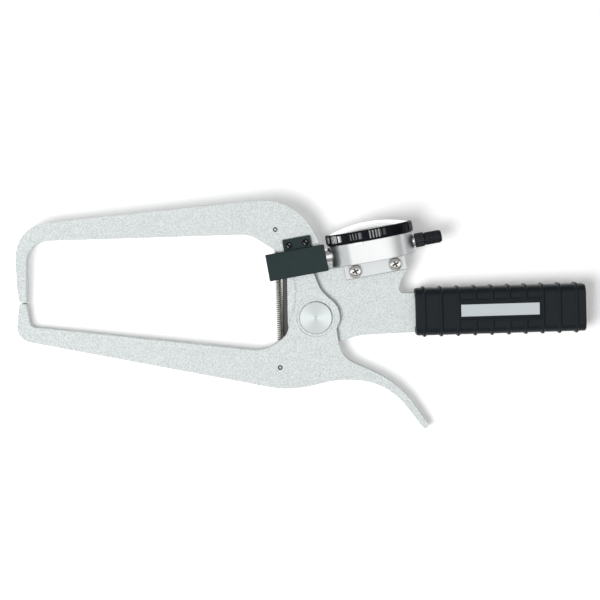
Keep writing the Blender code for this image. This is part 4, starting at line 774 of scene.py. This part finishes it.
# Painted shade along the lug's lower edge and, more faintly, at its two ends.
lug_here = back_plate.place(gauge_axes)
lug_lower_shade = back_plate.part(lug_here, 1).below(LUG_EDGE_SHADE_WIDTH - LUG_REACH)
lug_end_shade = abs(back_plate.part(lug_here, 0)).above(LUG_HALF_WIDTH - LUG_EDGE_SHADE_WIDTH)
back_plate.stain((lug_lower_shade + lug_end_shade * 0.5) * LUG_EDGE_SHADE_SHARE, LUG_EDGE_SHADE_COLOUR)
gauge_back = rounded_copy("gauge_back", 0.0002)
fit(gauge_back, "frame", "satin_metal", back_plate, "gauge_back")

screw_steel = turned_metal("screw_steel", (0.66, 0.66, 0.65), 0.22, face_axes)
dress(screw_steel, *(f"back_screw_{number}" for number in range(1, 5)))


# Lug screws. Two chromed pan heads with a crossed recess hold the lug on the frame's web, each over a washer.
# Painted shade darkens the crosses and the rims of the heads.
LUG_SCREWS = (("left", 0.0227), ("right", 0.0421))
LUG_SCREW_OUT = -0.0092
WASHER_LOW = 0.0080
WASHER_HIGH = 0.0085
HEAD_LOW = 0.0088
HEAD_TOP = 0.0108
HEAD_RADIUS = 0.00295
HEAD_ROUND = ((1.0, 0.0), (1.0, 0.0008), (0.955, 0.00125), (0.82, 0.0016), (0.6, 0.00185))
WASHER_BORE = 0.0018
WASHER_RADIUS = 0.0034
LUG_SHANK = 0.0015
LUG_TIP = 0.0003
LUG_CROSS = (0.0018, 0.00036)
LUG_SCREW_SHADE_COLOUR = (0.055, 0.050, 0.042)

washer_metal = drawn_metal("washer_metal", (0.72, 0.73, 0.72), 0.2, gauge_axes, (300, 1500, 1500))
for lug_side, lug_along in LUG_SCREWS:
    lug_centre = Vector((lug_along, LUG_SCREW_OUT, 0))
    washer = turned("lug_washer_" + lug_side + "_shape", [
        (WASHER_BORE, WASHER_LOW), (WASHER_RADIUS, WASHER_LOW), (WASHER_RADIUS, WASHER_HIGH),
        (WASHER_BORE, WASHER_HIGH),
    ], arm_axes @ Matrix.Translation(lug_centre), 0.0001, hollow=True, sides=56)
    fit(washer, "frame", "steel", washer_metal, "lug_washer_" + lug_side)
    lug_chrome = Finish("lug_chrome_" + lug_side, {"Metallic": 1.0})
    lug_place = lug_chrome.place(arm_axes @ Matrix.Translation(lug_centre))
    lug_radius = lug_chrome.radius(lug_place)
    lug_height = lug_chrome.part(lug_place, 2)
    cross_shade = lug_radius.below(0.0019) * lug_height.below(HEAD_TOP - 0.00035)
    lug_cloud = lug_chrome.grain(lug_place, 800)
    lug_chrome.tint(lug_cloud, (0.84, 0.83, 0.79), (0.97, 0.96, 0.93))
    # Painted shade in the crosses and round the rims of the heads.
    lug_chrome.stain(cross_shade + lug_radius.above(HEAD_RADIUS * 0.93), LUG_SCREW_SHADE_COLOUR)
    lug_chrome.set("Roughness", 0.06 + lug_cloud * 0.08)
    head = [(HEAD_RADIUS * out, HEAD_LOW + up) for out, up in HEAD_ROUND]
    head.append((HEAD_RADIUS * 0.3, HEAD_TOP - 0.00002))
    lug_screw = turned(
        "lug_screw_" + lug_side + "_shape", [(LUG_SHANK, LUG_TIP), (LUG_SHANK, HEAD_LOW)] + head,
        Matrix.Translation(lug_centre), sides=64,
    )
    for cutter in cross_cutter(lug_centre, HEAD_TOP - 0.0013, HEAD_TOP + 0.0004, *LUG_CROSS):
        carve(lug_screw, cutter)
    lug_screw.data.transform(arm_axes)
    fit(lug_screw, "frame", "steel", lug_chrome, "lug_screw_" + lug_side)


# Spindle cap. A bright neck on the case carries a black cap over the spindle's end. Both its collar and its
# body are knurled along.
NECK_RADIUS = 0.0028
NECK_START = 0.0178
NECK_END = 0.0205
CAP_START = 0.0208
CAP_COLLAR_END = 0.0253
CAP_END = 0.0338
CAP_BODY_RADIUS = 0.00305
CAP_COLLAR_RADIUS = 0.0034
COLLAR_BARS = 22
BODY_BARS = 26

chrome = clouded(
    "chrome", {"Metallic": 1.0}, 700, (0.88, 0.88, 0.85), (0.96, 0.96, 0.94), 0.05, 0.06, 0.000006,
)
cap_bush = turned("cap_bush_shape", [
    (SPINDLE_BORE, NECK_START), (NECK_RADIUS, NECK_START), (NECK_RADIUS, NECK_END), (SPINDLE_BORE, NECK_END),
], spindle_axes, 0.0001, hollow=True, sides=56)
fit(cap_bush, "frame", "chrome", chrome, "cap_bush")


def gather(name, pieces, axes=tool_axes):
    """Several pieces as one object, set on its axes."""
    bpy.ops.object.select_all(action="DESELECT")
    for piece in pieces:
        piece.select_set(True)
    bpy.context.view_layer.objects.active = pieces[0]
    bpy.ops.object.join()
    pieces[0].name = name
    pieces[0].data.transform(axes)
    return pieces[0]


def knurl_bars(count, radius, low, high, width, depth, edge, first=0.0, spread=math.tau):
    """Rounded bars round a turned piece, along its axis, as a knurling wheel leaves them."""
    bar = block("bar", (radius - depth, -width / 2, low), (radius, width / 2, high), edge=edge, segments=1)
    bars = []
    for index in range(count):
        copy = bpy.data.objects.new("bar", bar.data.copy())
        bpy.context.scene.collection.objects.link(copy)
        copy.data.transform(Matrix.Rotation(first + spread * index / count, 4, "Z"))
        bars.append(copy)
    bpy.data.objects.remove(bar, do_unlink=True)
    return bars


cap_black = Finish("cap_black", {"Specular IOR Level": 0.12, "Coat Roughness": 0.05})
cap_here = cap_black.place(spindle_axes)
cap_cloud = cap_black.grain(cap_here, 700)
cap_reach = cap_black.radius(cap_here)
cap_collar = cap_black.part(cap_here, 2).below(CAP_COLLAR_END)
cap_top = cap_reach.above(CAP_COLLAR_RADIUS - 0.00012)
cap_body_top = cap_reach.above(CAP_BODY_RADIUS - 0.00010) * (1 - cap_collar)
cap_worn = (cap_top * cap_collar + cap_body_top * 0.5) * (0.4 + cap_cloud * 0.6)
cap_black.tint(cap_cloud, (0.005, 0.006, 0.008), (0.012, 0.014, 0.018))
cap_black.stain(cap_worn, (0.065, 0.068, 0.074))
cap_black.set("Roughness", 0.2 + cap_cloud * 0.14)

cap_core = turned("cap_core", [
    (SPINDLE_BORE, CAP_START), (CAP_COLLAR_RADIUS - 0.00025, CAP_START),
    (CAP_COLLAR_RADIUS - 0.00025, CAP_COLLAR_END),
    (CAP_BODY_RADIUS - 0.0002, CAP_COLLAR_END + 0.0001), (CAP_BODY_RADIUS - 0.0002, CAP_END - 0.0008),
    (CAP_BODY_RADIUS - 0.0005, CAP_END - 0.0002), (CAP_BODY_RADIUS - 0.0011, CAP_END), (0.0002, CAP_END),
    (0.0002, CAP_END - 0.0007), (SPINDLE_BORE, CAP_END - 0.0007),
], tool_axes, hollow=True, sides=64)
collar_bars = knurl_bars(
    COLLAR_BARS, CAP_COLLAR_RADIUS, CAP_START + 0.0002, CAP_COLLAR_END - 0.0002, 0.00048, 0.0005, 0.0001,
)
body_bars = knurl_bars(
    BODY_BARS, CAP_BODY_RADIUS, CAP_COLLAR_END + 0.0004, CAP_END - 0.0010, 0.0004, 0.0004, 0.00008,
)
spindle_cap = gather("spindle_cap_shape", [cap_core] + collar_bars + body_bars, spindle_axes)
fit(spindle_cap, "frame", "gloss_black", cap_black, "spindle_cap")


# Spindle. A ground steel rod with a rack on its front side and a hard contact point, which rests on the pad
# in the lever's head. A pin keeps it from turning, and a fine spring between that pin and a post pushes it out.
RETURN_START = Vector((-0.0120, 0, -0.0060))
RETURN_END = Vector((0.0030, 0, -0.0060))
RETURN_RADIUS, RETURN_WIRE, RETURN_PITCH = 0.00062, 0.00012, 0.0010

ground_steel = drawn_metal("ground_steel", (0.64, 0.645, 0.65), 0.14, spindle_axes, (2400, 2400, 200))
dress(ground_steel, "spindle", "contact_point", "guide_pin", "spring_post", "lever_pad", "centre_arbor")

return_spring = coil(
    "return_spring_shape", gauge_axes @ RETURN_START, gauge_axes @ RETURN_END, RETURN_RADIUS, RETURN_WIRE,
    RETURN_PITCH, SPRING_CURL_POINTS, up_way,
)
fit(return_spring, "frame", "spring_wire", wire, "return_spring")
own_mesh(return_spring)


# Movement. Brass plates on pillars carry the rack pinion with its large wheel, the centre pinion of the
# pointer, and the take-up wheel with its hairspring.
brass = Finish("movement_brass", {"Metallic": 1.0})
brass_streak = brass.grain(brass.place(gauge_axes, (2200, 2200, 160)), 1.0, 3.0)
brass_cloud = brass.grain(brass.place(), 200)
brass.tint(brass_streak * 0.5 + brass_cloud * 0.5, (0.55, 0.38, 0.14), (0.82, 0.63, 0.30))
brass.set("Roughness", 0.24 + brass_cloud * 0.14)
brass.bump(brass_streak, 0.00001, 0.4)
dress(brass, "movement_plate", "movement_bridge", "movement_pillar_lower", "movement_pillar_upper")
dress(brass, "counter_arbor", "takeup_wheel")
dress(screw_steel, "bridge_screw_lower", "bridge_screw_upper")

blue_steel = clouded(
    "hairspring_steel", {"Metallic": 1.0}, 900, (0.10, 0.13, 0.26), (0.22, 0.26, 0.40), 0.22, 0.1,
)
dress(blue_steel, "hairspring")


# Dial. The white scale ring turns with the bezel and the centre stands still on the bridge. The scale is
# printed black: one turn of the pointer is five millimetres of jaw, and the small dial counts the turns.
DIAL_TOP = 0.0071
INK_THICK = 0.00003
SCALE_OUT = 0.0181
TICKS = 100
COUNTER_CENTRE = Vector((-0.00819, 0.00322, 0))
COUNTER_OUT = 0.0036
LONG_TICK, MIDDLE_TICK, SHORT_TICK = (0.0021, 0.00032), (0.0017, 0.00022), (0.0012, 0.00013)
COUNTER_TICKS = ((0.0008, 0.00018), (0.0005, 0.00012))
NUMBERS = (0.01435, 0.0030)
COUNTER_NUMBERS = (0.0022, 0.00085)

dial_white = clouded(
    "dial_white", {"Specular IOR Level": 0.3}, 3000, (0.80, 0.80, 0.785), (0.90, 0.90, 0.885), 0.45, 0.15,
    0.00001, 3.0,
)
dress(dial_white, "dial_ring", "dial_centre")

ink = clouded(
    "scale_ink", {"Specular IOR Level": 0.3}, 4000, (0.008, 0.008, 0.009), (0.022, 0.022, 0.024), 0.5, 0.2,
)


def tick(angle, outer, length, width, centre=Vector((0, 0, 0))):
    """One printed line of a scale, an angle clockwise from the top."""
    low = (-width / 2, outer - length, DIAL_TOP)
    line = block("tick", low, (width / 2, outer, DIAL_TOP + INK_THICK))
    line.data.transform(Matrix.Translation(centre) @ Matrix.Rotation(-angle, 4, "Z"))
    return line


def numeral(number, angle, reach, size, centre=Vector((0, 0, 0))):
    """One printed number, upright, at an angle clockwise from the top."""
    bpy.ops.object.select_all(action="DESELECT")
    bpy.ops.object.text_add()
    figure = bpy.context.object
    figure.data.body = str(number)
    figure.data.size = size
    figure.data.align_x = "CENTER"
    figure.data.align_y = "CENTER"
    figure.data.extrude = INK_THICK / 2
    figure.data.resolution_u = 3
    bpy.ops.object.convert(target="MESH")
    place = centre + Vector((reach * math.sin(angle), reach * math.cos(angle), DIAL_TOP + INK_THICK / 2))
    figure.data.transform(Matrix.Translation(place))
    return figure


scale_marks = []
for index in range(TICKS):
    kind = LONG_TICK if index % 10 == 0 else MIDDLE_TICK if index % 5 == 0 else SHORT_TICK
    scale_marks.append(tick(math.tau * index / TICKS, SCALE_OUT, *kind))
for index in range(5):
    scale_marks.append(numeral(index, math.tau * index / 5, *NUMBERS))
dial_scale = gather("dial_scale", scale_marks, face_axes)
fit(dial_scale, "bezel", "gloss_black", ink)

counter_marks = []
for index in range(10):
    counter_marks.append(tick(math.tau * index / 10, COUNTER_OUT, *COUNTER_TICKS[index % 2], COUNTER_CENTRE))
for index in range(5):
    counter_marks.append(numeral(index * 10, -math.tau * index / 5, *COUNTER_NUMBERS, COUNTER_CENTRE))
counter_scale = gather("counter_scale", counter_marks, face_axes)
fit(counter_scale, "frame", "gloss_black", ink)

black_steel = clouded(
    "black_steel", {"Metallic": 0.3, "Specular IOR Level": 0.3}, 2200, (0.020, 0.022, 0.024),
    (0.060, 0.064, 0.066), 0.2, 0.15, 0.00001,
)
dress(black_steel, "pointer", "counter_hand")


# Bezel. A glossy black rim, knurled in eleven patches with smooth stretches between, turns the scale to zero.
# Painted highlights brighten a few places on it. A small bright clip on the case holds it where it is set. The
# painted highlights are given by their middle along the gauge, their half width and their strength.
BEZEL_RADIUS = 0.0211
BEZEL_BOTTOM = 0.0051
BEZEL_TOP = 0.0100
BEZEL_BORE = 0.0187
BEZEL_STEP = 0.0203
CRYSTAL_SEAT = 0.0091
CRYSTAL_BORE = 0.0195
KNURL_PATCHES = 11
KNURL_BARS = 5
KNURL_SPREAD = math.radians(16)
KNURL_FIRST = math.radians(90 + 7.5)
KNURL_BAR = (0.0008, 0.0008, 0.00015)
KNURL_DEPTH = 0.0004
BEZEL_HIGHLIGHTS = ((-0.0171, 0.0034, 0.95), (-0.0073, 0.0034, 0.22), (0.0052, 0.0024, 0.10))
KNURL_PLAIN = 0.005
KNURL_HIGHLIGHTS = ((0.0017, 0.0032, 0.45), (-0.0172, 0.0012, 0.80))

bezel_core = turned("bezel_core", [
    (BEZEL_BORE, BEZEL_BOTTOM), (BEZEL_STEP, BEZEL_BOTTOM), (BEZEL_STEP, BEZEL_BOTTOM - 0.0002),
    (BEZEL_RADIUS - 0.0003, BEZEL_BOTTOM - 0.0002), (BEZEL_RADIUS - 0.0003, BEZEL_BOTTOM + 0.0008),
    (BEZEL_RADIUS - KNURL_DEPTH, BEZEL_BOTTOM + 0.0010), (BEZEL_RADIUS - KNURL_DEPTH, BEZEL_TOP - 0.0009),
    (BEZEL_RADIUS - 0.0002, BEZEL_TOP - 0.0007), (BEZEL_RADIUS - 0.0002, BEZEL_TOP),
    (CRYSTAL_BORE, BEZEL_TOP), (CRYSTAL_BORE, CRYSTAL_SEAT), (BEZEL_BORE, CRYSTAL_SEAT),
], tool_axes, 0.0002, hollow=True, sides=144)
bezel_bars = []
for patch in range(KNURL_PATCHES):
    middle = KNURL_FIRST + math.tau * patch / KNURL_PATCHES
    bezel_bars += knurl_bars(
        KNURL_BARS, BEZEL_RADIUS, BEZEL_BOTTOM + 0.0006, BEZEL_TOP - 0.0005, *KNURL_BAR,
        middle - KNURL_SPREAD / 2, KNURL_SPREAD * KNURL_BARS / (KNURL_BARS - 1),
    )
bezel_core.name = "bezel_shape"
bezel_core.data.transform(face_axes)
bezel_black = Finish("bezel_black", {"Specular IOR Level": 0.04, "Coat Roughness": 0.05})
bezel_here = bezel_black.place(gauge_axes)
bezel_cloud = bezel_black.grain(bezel_here, 500)
bezel_flank = bezel_black.part(bezel_here, 1).between(BEZEL_BOTTOM + 0.0010, BEZEL_TOP - 0.0009)
# Painted highlights on the smooth stretches; they also make the coat metallic there.
painted_smooth_highlight = 0.0
for highlight_along, highlight_half, highlight_share in BEZEL_HIGHLIGHTS:
    highlight_far = abs(bezel_black.part(bezel_here, 0) - highlight_along)
    highlight_soft = ((1 - highlight_far / highlight_half).at_least(0.0) * 3.0).at_most(1.0)
    painted_smooth_highlight = painted_smooth_highlight + highlight_soft * highlight_share
painted_smooth_highlight = painted_smooth_highlight * bezel_flank
bezel_black.tint(bezel_cloud, (0.004, 0.005, 0.007), (0.010, 0.012, 0.016))
bezel_black.stain(painted_smooth_highlight, (0.80, 0.82, 0.81))
bezel_black.set("Metallic", painted_smooth_highlight)
bezel_black.set("Roughness", 0.20 + bezel_cloud * 0.12)
fit(bezel_core, "bezel", "gloss_black", bezel_black, "bezel")

knurl_highlight_black = Finish("knurl_highlight_black", {"Metallic": 1.0})
knurl_cloud = knurl_highlight_black.grain(knurl_highlight_black.place(), 900, 3.0)
# Painted highlights on the knurl bars at two places, and faintly on all of them.
knurl_highlight_share = KNURL_PLAIN
for knurl_highlight_along, knurl_highlight_half, knurl_highlight_strength in KNURL_HIGHLIGHTS:
    knurl_highlight_far = abs(knurl_highlight_black.part(knurl_highlight_black.place(gauge_axes), 0) - knurl_highlight_along)
    knurl_highlight_share = knurl_highlight_far.below(knurl_highlight_half) * knurl_highlight_strength + knurl_highlight_share
knurl_highlight_colour = knurl_highlight_black.mix(knurl_cloud, (0.50, 0.51, 0.52), (0.80, 0.81, 0.82))
knurl_highlight_black.tint(knurl_highlight_share, (0.010, 0.011, 0.013), knurl_highlight_colour)
knurl_highlight_black.set("Roughness", 0.16 + knurl_cloud * 0.2)
bezel_knurl = gather("bezel_knurl", bezel_bars, face_axes)
fit(bezel_knurl, "bezel", "gloss_black", knurl_highlight_black)

bezel_clip = rounded_copy("bezel_clip", 0.0001)
fit(bezel_clip, "frame", "chrome", chrome, "bezel_clip")


# Crystal. A clear window, formed from thin sheet into a low dome, is pressed into its seat in the bezel. Its
# steep rim glows white with painted light.
DOME = 0.0032
CRYSTAL_RIM = 0.0192
CRYSTAL_WALL = 0.0010
DOME_ROWS = 14

crystal_clear = Finish("crystal_clear", {
    "Base Color": (1, 1, 1, 1), "Transmission Weight": 1.0, "IOR": 1.12, "Coat Weight": 0.3,
    "Emission Strength": 0.35,
})
crystal_cloud = crystal_clear.grain(crystal_clear.place(), 60)
crystal_clear.set("Roughness", 0.01 + crystal_cloud * 0.02)
# Painted light: the crystal glows white where it is seen edge on.
painted_rim_glow = crystal_clear.add("LayerWeight", None, {"Blend": 0.5}, 1)
crystal_clear.set("Emission Color", crystal_clear.mix(painted_rim_glow ** 3, (0, 0, 0), (1, 1, 1)))

dome_out = []
dome_in = []
for row in range(DOME_ROWS + 1):
    inward = 1 - row / DOME_ROWS
    height = BEZEL_TOP + DOME * (1 - inward ** 2)
    dome_out.append((max(CRYSTAL_RIM * inward, 0.0001), height))
    dome_in.append((max((CRYSTAL_RIM - CRYSTAL_WALL) * inward, 0.00005), height - CRYSTAL_WALL))
crystal_outline = [(CRYSTAL_RIM - CRYSTAL_WALL, CRYSTAL_SEAT + 0.0003), (CRYSTAL_RIM, CRYSTAL_SEAT + 0.0003)]
crystal = turned("crystal_shape", crystal_outline + dome_out + dome_in[::-1], face_axes, hollow=True)
fit(crystal, "bezel", "crystal", crystal_clear, "crystal")


# Grip. A black rubber sleeve is moulded over the frame's tang, ribbed all round. Its front has a window
# between two long ribs, with the cross ribs left out, where the plate is let in.
GRIP_START = Vector((0.0478, 0.0025, 0.0026))
GRIP_TILT = math.radians(1.7)
GRIP_LENGTH = 0.0816
GRIP_WIDE = 0.0113
GRIP_THICK = 0.0078
GRIP_CORNER = 0.0036
RIBS = 10
RIB_FIRST = 0.0041
RIB_PITCH = 0.0081
RIB_PROFILE = (
    (-0.00125, 0.0), (-0.00095, 0.00010), (-0.00065, 0.00048), (-0.00035, 0.00074), (0.0, 0.0008),
    (0.00035, 0.00074), (0.00065, 0.00048), (0.00095, 0.00010), (0.00125, 0.0),
)
WINDOW_MIDDLE = 0.0003
WINDOW_HALF = 0.0047
LONG_RIB = 0.0013
PLATE_START = 0.0217
PLATE_LENGTH = 0.0375
PLATE_HALF = 0.0029
PLATE_TOP = 0.0081
PLATE_SEAT_LOW = 0.0072
PLATE_SLACK = 0.0004
CUT_OVER = 0.002
END_ROUND = ((0.0, -0.0007), (0.0003, -0.0003), (0.0009, 0.0))
TANG_POCKET = ((-0.002, -0.0073, -0.0029), (0.0703, 0.0073, 0.0029))

grip_axes = Matrix.Translation(GRIP_START) @ Matrix.Rotation(GRIP_TILT, 4, "Z")
grip_section_axes = Matrix(((0, 0, 1), (1, 0, 0), (0, 1, 0))).to_4x4()

grip_stations = list(END_ROUND)
for rib in range(RIBS):
    rib_middle = RIB_FIRST + rib * RIB_PITCH
    grip_stations += [(rib_middle + along, rise) for along, rise in RIB_PROFILE]
grip_stations += [(GRIP_LENGTH - along, rise) for along, rise in reversed(END_ROUND)]

bpy.ops.object.select_all(action="DESELECT")
bpy.ops.mesh.primitive_plane_add(size=2)
grip = bpy.context.object
bpy.ops.object.mode_set(mode="EDIT")
grip_along, grip_rise = grip_stations[0]
bpy.ops.transform.resize(value=(GRIP_WIDE + grip_rise, GRIP_THICK + grip_rise, 1))
bpy.ops.mesh.bevel(affect="VERTICES", offset=GRIP_CORNER, segments=7)
for next_along, next_rise in grip_stations[1:]:
    bpy.ops.mesh.extrude_region_move(TRANSFORM_OT_translate={"value": (0, 0, next_along - grip_along)})
    growth = [(half + next_rise) / (half + grip_rise) for half in (GRIP_WIDE, GRIP_THICK)]
    bpy.ops.transform.resize(value=(*growth, 1), center_override=(0, 0, next_along))
    grip_along, grip_rise = next_along, next_rise
bpy.ops.mesh.select_all(action="SELECT")
bpy.ops.mesh.normals_make_consistent(inside=False)
bpy.ops.object.mode_set(mode="OBJECT")
grip.data.transform(grip_section_axes)
window_left = RIB_FIRST + 2 * RIB_PITCH
window_right = RIB_FIRST + 7 * RIB_PITCH
carve(grip, block(
    "window", (window_left + 0.0003, WINDOW_MIDDLE - WINDOW_HALF, GRIP_THICK),
    (window_right - 0.0003, WINDOW_MIDDLE + WINDOW_HALF, GRIP_THICK + CUT_OVER),
))
carve(grip, block(
    "plate_seat", (PLATE_START - PLATE_SLACK, WINDOW_MIDDLE - PLATE_HALF - PLATE_SLACK, PLATE_SEAT_LOW),
    (PLATE_START + PLATE_LENGTH + PLATE_SLACK, WINDOW_MIDDLE + PLATE_HALF + PLATE_SLACK, GRIP_THICK + CUT_OVER),
))
carve(grip, block("tang_pocket", *TANG_POCKET))
long_ribs = []
for side in (-1, 1):
    rib_line = WINDOW_MIDDLE + side * WINDOW_HALF
    long_ribs.append(block(
        "long_rib", (window_left - 0.0005, rib_line - LONG_RIB / 2, GRIP_THICK - 0.0008),
        (window_right + 0.0005, rib_line + LONG_RIB / 2, GRIP_THICK + 0.0007), edge=0.00045, segments=3,
    ))
grip = gather("grip_shape", [grip] + long_ribs)
smooth(grip, math.radians(40))
grip.data.transform(grip_axes)

rubber = Finish("grip_rubber", {"Specular IOR Level": 0.22})
rubber_place = rubber.place()
rubber_fine = rubber.grain(rubber_place, 4200, 3.0)
rubber_cloud = rubber.grain(rubber_place, 90)
rubber.tint(rubber_fine * 0.4 + rubber_cloud * 0.6, (0.0056, 0.0082, 0.0108), (0.0102, 0.0146, 0.0182))
rubber.set("Roughness", 0.36 + rubber_fine * 0.16)
rubber.bump(rubber_fine, 0.00003, 0.4)
fit(grip, "frame", "rubber", rubber, "grip_sleeve")


# Name plate. A thin bare plate of satin metal, with its grain drawn along it, is let into the seat in the
# grip's window.
plate_metal = drawn_metal("plate_metal", (0.66, 0.71, 0.74), 0.34, grip_axes, (90, 3200, 3200))
name_plate = block(
    "name_plate_shape", (PLATE_START, WINDOW_MIDDLE - PLATE_HALF, PLATE_SEAT_LOW + 0.0003),
    (PLATE_START + PLATE_LENGTH, WINDOW_MIDDLE + PLATE_HALF, PLATE_TOP), grip_axes, 0.00012,
)
fit(name_plate, "frame", "satin_metal", plate_metal, "name_plate")
